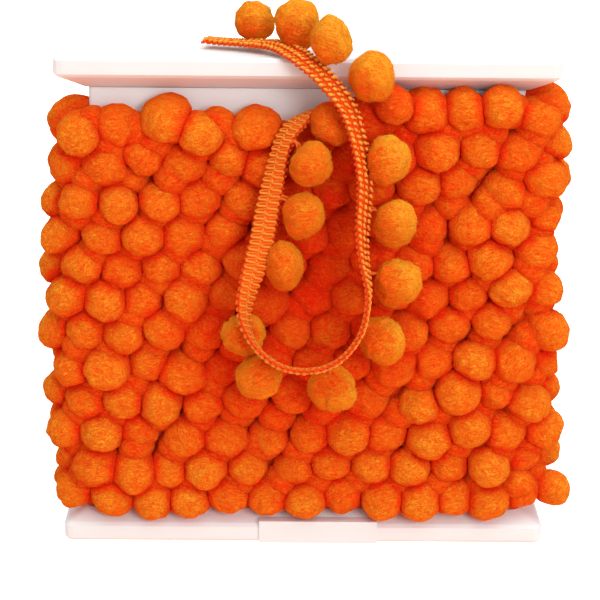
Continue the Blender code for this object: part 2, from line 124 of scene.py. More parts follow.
SET_ASIDE = np.array((
    # row of the route, x, y, z
    (0, 0.0, 0.0, -0.8), (1, 0.0, 0.0, -0.7), (2, 0.0, 0.0, -0.4), (3, 0.0, 0.0, 0.0),
    (23, 0.0, 0.0, 0.0), (24, -0.4, 0.0, 0.0), (25, -0.4, 0.0, 0.0), (27, 0.1, 0.0, 0.0),
    (28, 0.0, 0.0, 0.0), (29, -0.4, 0.0, 0.0), (30, -0.5, 0.0, 0.0), (31, -1.0, 0.0, 0.0),
    (32, -1.3, 0.0, 0.0), (33, -1.2, 0.0, -0.1), (34, -0.8, 0.0, -0.2), (35, 0.0, 0.0, 0.0),
    (38, 0.0, 0.0, 0.0), (39, -0.5, 0.0, 0.3),
))
LEAN = np.array((
    # distance, x, y, z
    (0.0, 0.04, -0.99, 0.11), (2.5, 0.40, -0.91, -0.05), (5.5, 0.54, -0.82, -0.17),
    (9.0, 0.62, -0.77, -0.14), (13.0, 0.70, -0.70, 0.02), (21.0, 0.90, -0.42, 0.08),
    (36.0, 0.97, 0.05, -0.20), (46.0, 0.72, 0.68, -0.10), (51.0, 0.48, 0.86, -0.18),
    (56.0, 0.20, 0.95, -0.25), (62.0, 0.00, 0.96, -0.26), (90.0, 0.05, 0.96, -0.26),
    (98.0, 0.10, 0.97, -0.10), (103.0, 0.20, 0.97, -0.03), (108.0, 0.33, 0.94, 0.00),
    (113.0, 0.45, 0.89, 0.00), (118.0, 0.55, 0.83, 0.00), (135.0, 0.58, 0.81, 0.05),
    (146.0, 0.70, 0.70, 0.15), (156.0, 0.75, 0.60, 0.28), (164.0, 0.78, 0.60, 0.20),
    (172.0, 0.70, 0.68, 0.14), (180.0, 0.50, 0.85, 0.02), (197.0, 0.15, 0.98, -0.06),
))
ROUTE_FINENESS = 40


def unit(vectors):
    return vectors / np.linalg.norm(vectors, axis=-1, keepdims=True)


def chord_lengths(points):
    steps = np.linalg.norm(np.diff(points, axis=0), axis=1)
    return np.concatenate(((0.0,), np.cumsum(steps)))


def spline_points(points, knots, places):
    """Points of the natural cubic spline through the knots, at places measured along its chords."""
    steps = np.diff(knots)
    inner = np.arange(1, len(points) - 1)
    matrix = np.eye(len(points))
    matrix[inner, inner - 1] = steps[:-1]
    matrix[inner, inner] = 2 * (steps[:-1] + steps[1:])
    matrix[inner, inner + 1] = steps[1:]
    turns = np.zeros_like(points)
    turns[1:-1] = 6 * np.diff(np.diff(points, axis=0) / steps[:, None], axis=0)
    bends = np.linalg.solve(matrix, turns)
    span = np.clip(np.searchsorted(knots, places, side="right") - 1, 0, len(steps) - 1)
    step = steps[span][:, None]
    ahead = (knots[span + 1] - places)[:, None]
    passed = (places - knots[span])[:, None]
    cubic = (bends[span] * ahead ** 3 + bends[span + 1] * passed ** 3) / (6 * step)
    low = points[span] / step - bends[span] * step / 6
    high = points[span + 1] / step - bends[span + 1] * step / 6
    return cubic + low * ahead + high * passed


def smooth_route(points, count):
    """Evenly spaced points of the spline through the route, and its length."""
    knots = chord_lengths(points)
    fine_places = np.linspace(0.0, knots[-1], ROUTE_FINENESS * len(points))
    lengths = chord_lengths(spline_points(points, knots, fine_places))
    places = np.interp(np.linspace(0.0, lengths[-1], count), lengths, fine_places)
    return spline_points(points, knots, places), lengths[-1]


def read_table(places, marks, rows):
    """A table's rows at places between its marks, straight from row to row."""
    return np.column_stack([np.interp(places, marks, column) for column in rows.T])


TAPE_ROUTE = ROUTE + read_table(np.arange(len(ROUTE)), SET_ASIDE[:, 0], SET_ASIDE[:, 1:])

# %% [markdown]
# The tape carries its own axes wherever it goes: along, across to the pompom edge, and out of its face.
# What is crocheted into it is drawn flat in those axes, and then carried to its place on the route. A short
# lead comes before the free part. There the tape still lies on the pile, and its distances are below
# nought.

# %% Axes that travel with the tape
LEAD = np.array((
    # x, y, z
    (12.2, -6.4, 108.6), (8.8, -7.6, 109.1), (5.6, -8.6, 109.5), (2.7, -9.5, 109.8),
))
TAPE_STATIONS = 1300
TAPE_LENGTH = smooth_route(TAPE_ROUTE, TAPE_STATIONS)[1]
TAPE_MIDDLE, WHOLE_LENGTH = smooth_route(np.concatenate((LEAD, TAPE_ROUTE)), TAPE_STATIONS)
LEAD_LENGTH = WHOLE_LENGTH - TAPE_LENGTH
TAPE_DISTANCE = np.linspace(-LEAD_LENGTH, TAPE_LENGTH, TAPE_STATIONS)
TAPE_ALONG = unit(np.gradient(TAPE_MIDDLE, axis=0))


def square_to(ways, along):
    """Unit ways turned square to the way along at the same place."""
    return unit(ways - (ways * along).sum(axis=1)[:, None] * along)


TAPE_LEAN = square_to(read_table(TAPE_DISTANCE, LEAN[:, 0], LEAN[:, 1:]), TAPE_ALONG)
TAPE_FACE = np.cross(TAPE_ALONG, TAPE_LEAN)
SLANT = np.array((
    # distance, rise towards the pompom edge
    (0.0, 0.0), (8.0, 0.19), (42.0, 0.19), (58.0, 0.0),
))


def on_tape(flat):
    """Carry flat places (along, across, out) to the tape's route, where its rows may slant."""
    distance = flat[:, 0] - np.interp(flat[:, 0], SLANT[:, 0], SLANT[:, 1]) * flat[:, 1]
    axes = (TAPE_MIDDLE, TAPE_LEAN, TAPE_FACE)
    middle, lean, face = (read_table(distance, TAPE_DISTANCE, table) for table in axes)
    return middle + unit(lean) * flat[:, 1:2] + unit(face) * flat[:, 2:3]


print("free tape is", round(float(TAPE_LENGTH), 1), "mm long, after a lead of", round(float(LEAD_LENGTH), 1))

# %% [markdown]
# ## Meshes from arrays
# A thousand stitches and six hundred pompoms would be slow to add one by one with operators. Each piece is
# therefore worked out as an array of points and one of triangles, and handed over in one go, with the named
# point attributes that the materials read.

# %% Mesh helper
def make_piece(name, points, triangles, material, replaced, attributes=None):
    """A smooth mesh from arrays in millimetres, riding on the root and standing for a solid."""
    mesh = bpy.data.meshes.new(name)
    mesh.from_pydata((points * MM).tolist(), [], triangles.tolist())
    mesh.shade_smooth()
    for label, values in (attributes or {}).items():
        attribute = mesh.attributes.new(label, "FLOAT_VECTOR", "POINT")
        attribute.data.foreach_set("vector", values.astype(np.float32).ravel())
    mesh.materials.append(material)
    piece = add_object(name, mesh)
    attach(piece, "root")
    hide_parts(replaced)
    print(f"{name}: {len(triangles)} triangles")
    return piece


def join_arrays(parts):
    """Join (points, triangles, ...) tuples, with each part's triangles counted on from the last."""
    starts = np.concatenate(((0,), np.cumsum([len(part[0]) for part in parts])[:-1]))
    points = np.concatenate([part[0] for part in parts])
    triangles = np.concatenate([part[1] + start for part, start in zip(parts, starts)])
    rest = [np.concatenate([part[index] for part in parts]) for index in range(2, len(parts[0]))]
    return (points, triangles, *rest)


# %% [markdown]
# ## A kit for finishes
# Each finish is a small node tree: noise gives unevenness, a ramp turns it into colours, and bump into
# relief. Painted pictures would need a layout for each piece, so everything is worked out in space instead.
# Numbers that are the same all over go straight on the shader's own sockets.

# %% Node helpers
def put(tree, socket, value):
    """Link a socket to another, or set its number, vector or colour."""
    if isinstance(value, bpy.types.NodeSocket):
        tree.links.new(value, socket)
    else:
        socket.default_value = (*value, 1.0) if socket.type == "RGBA" else value


def add_node(tree, kind, inputs, **properties):
    """A node with its properties, and its inputs linked or set by name or number."""
    node = tree.nodes.new("ShaderNode" + kind)
    for name, value in properties.items():
        setattr(node, name, value)
    for socket, value in inputs.items():
        put(tree, node.inputs[socket], value)
    return node


SOFT_SETTINGS = (
    "Roughness", "Specular IOR Level", "Sheen Weight", "Sheen Roughness", "Sheen Tint",
    "Subsurface Weight", "Subsurface Radius", "Subsurface Scale")


def new_finish(name, settings):
    """A material with its node tree, shader and uniform settings."""
    material = bpy.data.materials.new(name)
    material.use_nodes = True
    shader = material.node_tree.nodes["Principled BSDF"]
    for socket, value in settings.items():
        put(material.node_tree, shader.inputs[socket], value)
    return material, material.node_tree, shader


def add_noise(tree, vector, scale, detail, stretch=(1.0, 1.0, 1.0), roughness=0.5, distortion=0.0):
    """Noise on a vector, stretched by scaling that vector first."""
    place = add_node(tree, "Mapping", {"Vector": vector, "Scale": stretch}).outputs["Vector"]
    inputs = {"Vector": place, "Scale": scale, "Detail": detail, "Roughness": roughness}
    return add_node(tree, "TexNoise", {**inputs, "Distortion": distortion}).outputs["Fac"]


def add_math(tree, operation, *values, clamp=False):
    inputs = dict(enumerate(values))
    return add_node(tree, "Math", inputs, operation=operation, use_clamp=clamp).outputs["Value"]


def add_ramp(tree, factor, stops):
    """Colours along a factor, from (place, red, green, blue) rows."""
    node = add_node(tree, "ValToRGB", {"Fac": factor})
    elements = node.color_ramp.elements
    while len(elements) < len(stops):
        elements.new(0.5)
    for element, (place, *color) in zip(elements, stops):
        element.position = place
        element.color = (*color, 1.0)
    return node.outputs["Color"]


def add_mix(tree, factor, first, second):
    """Mix two colours, each a socket or (red, green, blue)."""
    inputs = {"Factor": factor, "A": first, "B": second}
    return add_node(tree, "Mix", inputs, data_type="RGBA").outputs["Result"]


def add_bump(tree, shader, height, distance, strength, before=None):
    """Relief in metres on the shader's normal, over an earlier relief if there is one."""
    under = {} if before is None else {"Normal": before}
    node = add_node(tree, "Bump", {"Height": height, "Distance": distance, "Strength": strength, **under})
    put(tree, shader.inputs["Normal"], node.outputs["Normal"])
    return node.outputs["Normal"]


def read_attribute(tree, name):
    return add_node(tree, "Attribute", {}, attribute_name=name).outputs["Vector"]


def split(tree, vector):
    """The X, Y and Z of a vector."""
    return add_node(tree, "SeparateXYZ", {"Vector": vector}).outputs


# %% [markdown]
# ## The moulded spool
# The flanges and the flat core are injection moulded in one white plastic, smooth but not polished. The
# mould leaves a faint orange-peel relief, and handling leaves the gloss slightly uneven. The solids already
# have the right rounded rims and flared faces, so they stay and only take a finish. The raised block on the
# lower rim is bare.

# %% White moulded plastic
PLASTIC_WHITE = (0.82, 0.86, 0.865)
PLASTIC_SHADE = (0.79, 0.825, 0.825)
LEAST_ROUGHNESS = 0.36
ROUGHNESS_SPREAD = 0.18


def make_plastic():
    material, tree, shader = new_finish("moulded_plastic", {
        "Specular IOR Level": 0.42,
        "Subsurface Weight": 0.12,
        "Subsurface Radius": (0.004, 0.003, 0.0025),
        "Subsurface Scale": 0.5,
    })
    place = add_node(tree, "TexCoord", {}).outputs["Object"]
    clouds = add_noise(tree, place, scale=60.0, detail=4.0)
    put(tree, shader.inputs["Base Color"], add_mix(tree, clouds, PLASTIC_WHITE, PLASTIC_SHADE))
    handling = add_noise(tree, place, scale=160.0, detail=3.0)
    roughness = add_math(tree, "MULTIPLY_ADD", handling, ROUGHNESS_SPREAD, LEAST_ROUGHNESS)
    put(tree, shader.inputs["Roughness"], roughness)
    peel = add_noise(tree, place, scale=900.0, detail=2.0)
    add_bump(tree, shader, peel, distance=0.00004, strength=0.35)
    return material


plastic = make_plastic()
for node_name in ("flange_bottom", "flange_top", "core_panel"):
    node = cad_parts[node_name]
    node.data.materials.clear()
    node.data.materials.append(plastic)
print("plastic on the two flanges and the core panel")

# %% [markdown]
# ## Where the wound pompoms lie
# Each turn carries pompoms at even steps, but nobody winds a spool evenly: they slip, and neighbours push
# them aside. They could be placed by hand or dropped in a simulation. Here every turn starts from an even
# row round the panel, each pompom is moved by a seeded random step, and then all push each other apart for
# a few rounds. The seed keeps the pile the same on every run, with its pompoms in nearly the same places as
# the solid sleeve's.

# %% Sizes of the winding
PANEL_WIDTH = 104.5
PANEL_THICKNESS = 6.0
SPOOL_DEPTH = 22.0
RIM_HEIGHT = 4.8
FLARE_RISE = 3.4
COLLAR_STEP = 1.0
GAP = 0.3
BALLS_PER_TURN = 26
BALL_RADIUS = 5.55
BALL_RADIUS_SPREAD = 0.5
FACE_REACH = 6.4
END_REACH = 5.0
REACH_INWARD = 2.6
REACH_OUTWARD = 0.3
PLACE_SPREAD = 2.3
LEAST_SPACING = 9.0
SETTLING_STEPS = 40
SETTLING_SHARE = 0.35
SETTLING_DEPTH_SHARE = 0.3
SEED = 7
TURNS = (
    # left, right
    (11.0, 11.0), (19.6, 20.2), (28.2, 29.4), (36.8, 38.6), (45.4, 47.8), (54.0, 57.0), (62.5, 66.0),
    (71.0, 75.0), (79.4, 83.8), (87.8, 92.6), (96.2, 101.0), (104.4, 109.2),
)
STRAYS = np.array((
    # x, y, z, radius, turn
    (62.4, -4.0, 12.4, 4.7, 0),
    (5.8, -14.2, 107.7, 5.2, 11),
    (20.4, -11.6, 111.7, 4.7, 11),
))
ROW_START = 0.3
ROW_STAGGER = 0.5
FREE_END_LEFT = -9.0
FREE_END_RIGHT = 9.5

# %% Way round the panel
def panel_stretches():
    """Straight and round stretches of the way round the panel, from the front left."""
    arc = math.pi / 2 * FACE_REACH
    stretches = []
    for side, first in ((1, -90), (-1, 90)):
        x, y = side * PANEL_WIDTH / 2, -side * PANEL_THICKNESS / 2
        stretches += (
            # length, start x, start y, step x, step y, first angle, turned angle
            (PANEL_WIDTH, -x, y, side, 0, first, 0),
            (arc, x, y, 0, 0, first, 90),
            (PANEL_THICKNESS, x, y, 0, side, first + 90, 0),
            (arc, x, -y, 0, 0, first + 90, 90),
        )
    return stretches


STRETCHES = panel_stretches()
TURN_LENGTH = sum(stretch[0] for stretch in STRETCHES)


def around_panel(distance):
    """Foot points on the panel and outward ways, at distances round it."""
    along = np.asarray(distance) % TURN_LENGTH
    foot, outward = np.zeros((2, len(along), 2))
    start = 0.0
    for length, x, y, step_x, step_y, first, turned in STRETCHES:
        inside = (along >= start) & (along <= start + length)
        travelled = along[inside] - start
        angle = np.radians(first + turned * travelled / length)
        foot[inside] = np.column_stack((x + step_x * travelled, y + step_y * travelled))
        outward[inside] = np.column_stack((np.cos(angle), np.sin(angle)))
        start += length
    return foot, outward


def even_row(turn, extra_shift=0.0):
    """Feet and outward ways of one turn's evenly spaced pompoms."""
    shift = ROW_START + ROW_STAGGER * (turn % 2) + extra_shift
    return around_panel((np.arange(BALLS_PER_TURN) + shift) / BALLS_PER_TURN * TURN_LENGTH)


def clear_of_free_end(turn, places, left, right):
    """Which places of a turn are kept: the free end leaves the top turn in front."""
    x, y = places[:, 0], places[:, 1]
    return (turn < len(TURNS) - 1) | (y >= 0) | (x <= left) | (x >= right)


def turn_height(turn, x):
    """Height of a turn's pompoms at a place across the spool."""
    left, right = TURNS[turn]
    across = np.clip(x / PANEL_WIDTH + 0.5, 0.0, 1.0)
    return left + (right - left) * across


print("one turn is", round(TURN_LENGTH, 1), "mm long")

# %% Settle the pompoms
def lowest_rest(centers, radii):
    """Lowest height at which a pompom still clears the flared face of the lower flange."""
    beyond_face = np.abs(centers[:, 1]) - PANEL_THICKNESS / 2 - COLLAR_STEP
    beyond_end = np.abs(centers[:, 0]) - PANEL_WIDTH / 2 - COLLAR_STEP
    overhang = (SPOOL_DEPTH - PANEL_THICKNESS) / 2 - COLLAR_STEP
    share = np.clip(np.maximum(beyond_face, beyond_end) / overhang, 0.0, 1.0)
    return RIM_HEIGHT + FLARE_RISE * (1.0 - share) + radii + GAP


def settle(centers, radii, fixed):
    """Push pompoms that crowd each other apart over the panel; those from index fixed on stay put."""
    highest = turn_height(len(TURNS) - 1, centers[:, 0]) + PLACE_SPREAD
    for _ in range(SETTLING_STEPS):
        away = centers[:, None, :] - centers[None, :, :]
        distance = np.linalg.norm(away, axis=2) + np.eye(len(centers)) * LEAST_SPACING
        crowding = np.clip(LEAST_SPACING - distance, 0.0, None)
        push = (away / distance[:, :, None] * crowding[:, :, None]).sum(axis=1)
        push[fixed:] = 0.0
        push[:, 1] *= SETTLING_DEPTH_SHARE
        centers += push * SETTLING_SHARE
        low = lowest_rest(centers, radii)
        centers[:fixed, 2] = np.clip(centers[:fixed, 2], low[:fixed], highest[:fixed])
    return centers


def wound_balls():
    """Centres, radii and turns of the pompoms, set in turns, moved a little and pushed apart."""
    chance = np.random.default_rng(SEED)
    rows = []
    for turn in range(len(TURNS)):
        foot, outward = even_row(turn)
        reach = FACE_REACH + (END_REACH - FACE_REACH) * np.abs(outward[:, 0])
        reach = reach + chance.uniform(-REACH_INWARD, REACH_OUTWARD, BALLS_PER_TURN)
        along, up = chance.uniform(-PLACE_SPREAD, PLACE_SPREAD, (2, BALLS_PER_TURN))
        radii = BALL_RADIUS + chance.uniform(-BALL_RADIUS_SPREAD, BALL_RADIUS_SPREAD, BALLS_PER_TURN)
        onward = np.column_stack((-outward[:, 1], outward[:, 0]))
        flat = foot + outward * reach[:, None] + onward * along[:, None]
        height = turn_height(turn, flat[:, 0]) + up
        row = np.column_stack((flat, height, radii, np.full(BALLS_PER_TURN, turn)))
        rows.append(row[clear_of_free_end(turn, flat, FREE_END_LEFT, FREE_END_RIGHT)])
    balls = np.concatenate((*rows, STRAYS))
    radii = balls[:, 3].copy()
    centers = settle(balls[:, :3].copy(), radii, len(balls) - len(STRAYS))
    return centers, radii, balls[:, 4].astype(int)


BALL_CENTERS, BALL_RADII, BALL_TURNS = wound_balls()
print(len(BALL_CENTERS), "pompoms, radii", BALL_RADII.min().round(2), "to", BALL_RADII.max().round(2))

# %% [markdown]
# ## The shape of one pompom
# A pompom is a bundle of soft yarn, tied round the middle, trimmed to a ball and rolled until it felts. It
# is never a true sphere: it has broad lumps, small nubs, folds where strands part, and a pit where the tie
# pulls in. Sculpting would give one good pompom, and a texture would leave every outline a circle. Here the
# points of an even ball move in and out on a few smooth random waves, so that each pompom differs and its
# outline is truly uneven.

# %% Even triangle ball
def even_ball(subdivisions):
    """Directions and triangles of an even ball of radius 1."""
    builder = bmesh.new()
    bmesh.ops.create_icosphere(builder, subdivisions=subdivisions, radius=1.0)
    builder.verts.ensure_lookup_table()
    directions = np.array([vertex.co[:] for vertex in builder.verts])
    triangles = np.array([[vertex.index for vertex in face.verts] for face in builder.faces])
    builder.free()
    return unit(directions), triangles


PILE_BALL = even_ball(4)
FREE_BALL = even_ball(5)
print("triangles a ball:", len(PILE_BALL[1]), "in the pile,", len(FREE_BALL[1]), "on the free end")

# %% Lumps, nubs, folds and the tie's pit
STRETCH = 0.06
LUMP_SHARE = 0.022
NUB_SHARE = 0.0085
FOLD_SHARE = 0.05
FOLD_WIDTH = 0.22
FLAT_SHARE = (0.86, 0.95)
FLAT_FIRMNESS = 0.75
PATCH_CONTRAST = 2.0
PATCH_DROP = 0.6
PIT_SHARE = 0.07
PIT_WIDTH = 0.12
# How much shade is painted into the tie's pit.
PIT_PAINTED_SHADE = 0.45


def random_waves(chance, count, least, most):
    """Wave vectors and phases for smooth unevenness over a ball."""
    ways = unit(chance.normal(size=(count, 3)))
    return ways * chance.uniform(least, most, (count, 1)), chance.uniform(0.0, 2 * math.pi, count)


def swell(directions, waves):
    vectors, phases = waves
    return np.cos(directions @ vectors.T + phases)


def random_form(chance, unevenness):
    """The waves and the tie's place that make one pompom unlike the next."""
    return {
        "unevenness": unevenness,
        "lumps": random_waves(chance, count=6, least=1.6, most=4.0),
        "nubs": random_waves(chance, count=10, least=7.0, most=15.0),
        "folds": random_waves(chance, count=3, least=1.8, most=3.4),
        "patches": random_waves(chance, count=3, least=1.5, most=3.0),
        "stretch": unit(chance.normal(size=(2, 3))),
        "flats": unit(chance.normal(size=(4, 3))),
        "flat_depths": chance.uniform(*FLAT_SHARE, 4),
        "tie": unit(chance.normal(size=3)),
    }


def pit_depth(directions, form):
    angle = np.arccos(np.clip(directions @ form["tie"], -1.0, 1.0))
    return np.exp(-(angle / PIT_WIDTH) ** 2)


def form_radius(directions, form):
    """Distance from the middle to the surface, as a share of the pompom's size."""
    lumps = swell(directions, form["lumps"]).sum(axis=1) * LUMP_SHARE * form["unevenness"]
    nubs = swell(directions, form["nubs"]).sum(axis=1) * NUB_SHARE
    lines = np.exp(-(swell(directions, form["folds"]) / FOLD_WIDTH) ** 2)
    shown = np.clip(swell(directions, form["patches"]) * PATCH_CONTRAST - PATCH_DROP, 0.0, 1.0)
    folds = (lines * shown).max(axis=1) * FOLD_SHARE * form["unevenness"]
    longer, shorter = (directions @ form["stretch"].T).T ** 2 * STRETCH
    share = 1.0 + longer - shorter + lumps
    facing = directions @ form["flats"].T
    beyond = np.clip(share[:, None] * facing - form["flat_depths"], 0.0, None)
    share = share - FLAT_FIRMNESS * beyond.max(axis=1)
    return share + nubs - folds - PIT_SHARE * pit_depth(directions, form)


# %% [markdown]
# Pompoms in a pile flatten each other where they touch. A soft-body simulation of three hundred balls would
# be slow and hard to steer. The same look comes from geometry: between two touching balls lies a plane, and
# points that would pass it are pressed back to it.

# %% Press a pompom against its neighbours
PRESSED_SHARE = 0.93


def press(points, center, radius, other_centers, other_radii):
    """Move points that pass the plane shared with a neighbour back towards it."""
    for other, other_radius in zip(other_centers, other_radii):
        gap = other - center
        distance = np.linalg.norm(gap)
        way = gap / distance
        plane = (distance ** 2 + radius ** 2 - other_radius ** 2) / (2 * distance)
        beyond = np.clip((points - center) @ way - plane, 0.0, None)
        points = points - way * (beyond * PRESSED_SHARE)[:, None]
    return points


# %% Mark painted shade in the crevices
# Painted shade: darker near a touching neighbour, on sides turned into the pile and on pompoms set back.
CREVICE_WIDTH = 1.5
OPEN_WAY = np.array((0.0, 0.0, -0.10))
TURNED_SHARE = 0.40
TURNED_START = 0.85
DEPTH_SHARE = 0.08


def clearances(points, other_centers, other_radii):
    """Distance of each point from each neighbour's surface."""
    return np.linalg.norm(points[:, None] - other_centers, axis=2) - other_radii


def crevice(points, other_centers, other_radii):
    """Painted shade from nearness of each point to a neighbour's surface, 0 far away and 1 where they touch.
    """
    gaps = clearances(points, other_centers, other_radii).min(axis=1)
    return np.exp(-(np.clip(gaps, 0.0, None) / CREVICE_WIDTH) ** 2)


def turned_in(ways, out):
    """Painted shade by how far each way turns from the open side of the pile, 0 when it faces out."""
    return np.clip(TURNED_SHARE * (TURNED_START - ways @ unit(out + OPEN_WAY)), 0.0, 1.0)


def combined(*painted_shade):
    """One share of painted shade from several, each from 0 to 1."""
    open_share = 1.0
    for share in painted_shade:
        open_share = open_share * (1.0 - np.clip(share, 0.0, 1.0))
    return 1.0 - open_share


# %% [markdown]
# ## The fuzz
# Loose fibres stand out of the felt and make the outline soft. Hair particles would leave nothing in a mesh
# file, so each fibre is a closed spike of four triangles, with its root sunk in the felt. Some stand up and
# catch the light on the outline, and most lie along the swirl of the yarn, which gives the surface its
# grain.

# %% Fibres
# tip: how strong the highlight painted on each fibre's tip is.
PILE_FUZZ = {
    "count": 260, "lengths": (0.45, 1.15), "widths": (0.045, 0.085),
    "standing": 0.4, "tip": 0.8, "unevenness": 1.0}
FREE_FUZZ = {
    "count": 1300, "lengths": (0.35, 0.95), "widths": (0.04, 0.075),
    "standing": 0.5, "tip": 1.0, "unevenness": 1.5}
FIBRE_TRIANGLES = np.array(((0, 2, 1), (0, 1, 3), (1, 2, 3), (2, 0, 3)))
THIRDS = np.arange(3)[:, None] * 2 * math.pi / 3
STANDING_RISE = (0.55, 0.95)
LYING_RISE = (0.18, 0.4)
SWIRL_SCATTER = 0.45


def swirl_way(directions, chance):
    """Way along the swirl of the yarn at each direction, with some scatter."""
    axis = unit(chance.normal(size=3))
    way = np.cross(directions, axis) + chance.normal(scale=SWIRL_SCATTER, size=directions.shape)
    return square_to(way, directions)


def make_fibres(roots, normals, lengths, widths, standing_share, chance):
    """Closed spikes on a surface: four points and four triangles each."""
    count = len(roots)
    along = swirl_way(normals, chance)
    across = np.cross(normals, along)
    standing = chance.random(count) < standing_share
    rise = np.where(standing, chance.uniform(*STANDING_RISE, count), chance.uniform(*LYING_RISE, count))
    way = unit(normals * rise[:, None] + along * np.sqrt(1.0 - rise ** 2)[:, None])
    tips = roots + way * lengths[:, None]
    angles = chance.uniform(0.0, 2 * math.pi, count)[:, None, None] + THIRDS
    sides = along[:, None] * np.cos(angles) + across[:, None] * np.sin(angles)
    corners = roots[:, None] + sides * widths[:, None, None]
    points = np.concatenate((corners, tips[:, None]), axis=1).reshape(-1, 3)
    triangles = FIBRE_TRIANGLES + np.arange(count)[:, None, None] * 4
    return points, triangles.reshape(-1, 3)


# %% [markdown]
# ## The felt finish
# Felt has no single colour, and light and shade are painted into it as well. Fibre tips get a painted
# highlight, yellower, as where standing fibres catch the light. Hollows, crevices, sides turned into the
# pile and pompoms in the shade of others get painted shade, redder, and the tie's pit is painted nearly red.
# The finish reads two attributes that travel with each pompom: a point's place in the ball's own turned
# axes, so that no two balls share a pattern, and marks for its tone, its painted shade and how near a
# fibre's tip it is. Noise stretched along one axis makes the strands, sheen the soft bright edge, and a
# little light scatters inside, as in wool.

# %% Felted yarn
FELT_COLORS = (
    # place, red, green, blue
    (0.00, 0.96, 0.010, 0.004),
    (0.25, 0.96, 0.030, 0.005),
    (0.50, 0.95, 0.098, 0.007),
    (0.75, 0.97, 0.195, 0.011),
    (1.00, 1.00, 0.400, 0.028),
)
# Pale colour painted on fibre tips as a highlight.
FELT_TIP_HIGHLIGHT = (1.0, 0.48, 0.08)
FELT_NOISES = {
    # scale, detail, stretch, roughness, distortion
    "strands": (2.4, 3.0, (1.0, 1.0, 0.45), 0.65, 1.2),
    "clumps": (0.45, 3.0),
    "waves": (0.75, 2.0, (1.0, 1.0, 0.26), 0.6),
}
# Where the colour ramp is centred: the free pompoms are painted lighter than the pile, as pompoms in more
# light.
PILE_PAINTED_LIGHT = 0.76
FREE_PAINTED_LIGHT = 0.89
PAINTED_SHADE_DROP = 0.62
WRINKLE_SHARPNESS = 16.0
STRAND_CONTRAST = 1.6
MIDDLE_SHADE = 1.02


def weighted_sum(tree, rows):
    """Sum of (socket, weight) rows."""
    total = None
    for socket, weight in rows:
        part = add_math(tree, "MULTIPLY", socket, weight)
        total = part if total is None else add_math(tree, "ADD", total, part)
    return total


def make_felt(name, painted_light, sheen, sheen_roughness, sheen_tint):
    soft = (0.95, 0.0, sheen, sheen_roughness, sheen_tint, 0.2, (1.0, 0.22, 0.05), 0.0012)
    material, tree, shader = new_finish(name, dict(zip(SOFT_SETTINGS, soft)))
    place = read_attribute(tree, "felt_place")
    tone, painted_shade, tip = split(tree, read_attribute(tree, "felt_marks"))
    strands, clumps, waves = (add_noise(tree, place, *row) for row in FELT_NOISES.values())
    # Wrinkles: thin grooves in the relief, also painted darker as shade in them.
    off_line = add_math(tree, "ABSOLUTE", add_math(tree, "SUBTRACT", waves, 0.5))
    beside = add_math(tree, "MULTIPLY", off_line, WRINKLE_SHARPNESS, clamp=True)
    wrinkles = add_math(tree, "SUBTRACT", 1.0, beside)
    # The painted shade mark darkens and reddens the colour here.
    unevenness = weighted_sum(tree, (
        (strands, STRAND_CONTRAST), (clumps, 0.4), (tone, 0.10), (wrinkles, -0.13), (painted_shade, -PAINTED_SHADE_DROP)))
    shade = add_math(tree, "ADD", unevenness, painted_light - MIDDLE_SHADE)
    # Painted highlight on fibre tips, weaker where shade is painted.
    lit_tip = add_math(tree, "MULTIPLY", tip, add_math(tree, "SUBTRACT", 1.0, painted_shade))
    color = add_mix(tree, lit_tip, add_ramp(tree, shade, FELT_COLORS), FELT_TIP_HIGHLIGHT)
    put(tree, shader.inputs["Base Color"], color)
    height = weighted_sum(tree, ((strands, 1.0), (wrinkles, -0.30)))
    relief = add_bump(tree, shader, height, distance=0.0006, strength=0.9)
    add_bump(tree, shader, clumps, distance=0.0012, strength=0.4, before=relief)
    return material


# The free pompoms get a copy of the felt that is painted lighter and has more sheen.
pile_felt = make_felt(
    "felted_yarn", PILE_PAINTED_LIGHT, sheen=0.30, sheen_roughness=0.5, sheen_tint=(1.0, 0.40, 0.03))
free_felt = make_felt(
    "loose_felted_yarn", FREE_PAINTED_LIGHT, sheen=1.0, sheen_roughness=0.35, sheen_tint=(1.0, 0.50, 0.02))
print("felt finishes made")

# %% [markdown]
# ## Dress the wound trim, turn by turn
# Balls and fibres together make one mesh a turn. Fibres grow only where a pompom can be seen, so none are
# spent inside the pile. The random draws are taken in the order of the balls, which keeps every pompom the
# same on every run.

# %% One dressed pompom
ROOT_DEPTH = 0.985
PLACE_SHIFT = 60.0
STRAND_SCATTER = 0.28
HANG = 0.28


def strand_turning(level, chance):
    """Axes of one pompom as columns; the third runs along its strands, roughly level."""
    strand = unit(level + chance.normal(scale=STRAND_SCATTER, size=3))
    side = unit(np.cross(strand, chance.normal(size=3)))
    return np.column_stack((side, np.cross(strand, side), strand))


def felt_marks(tone, painted_shade, tips):
    """Tone, share of painted shade and nearness to a fibre's tip, for every point."""
    return np.column_stack((np.full(len(painted_shade), tone), painted_shade, tips))


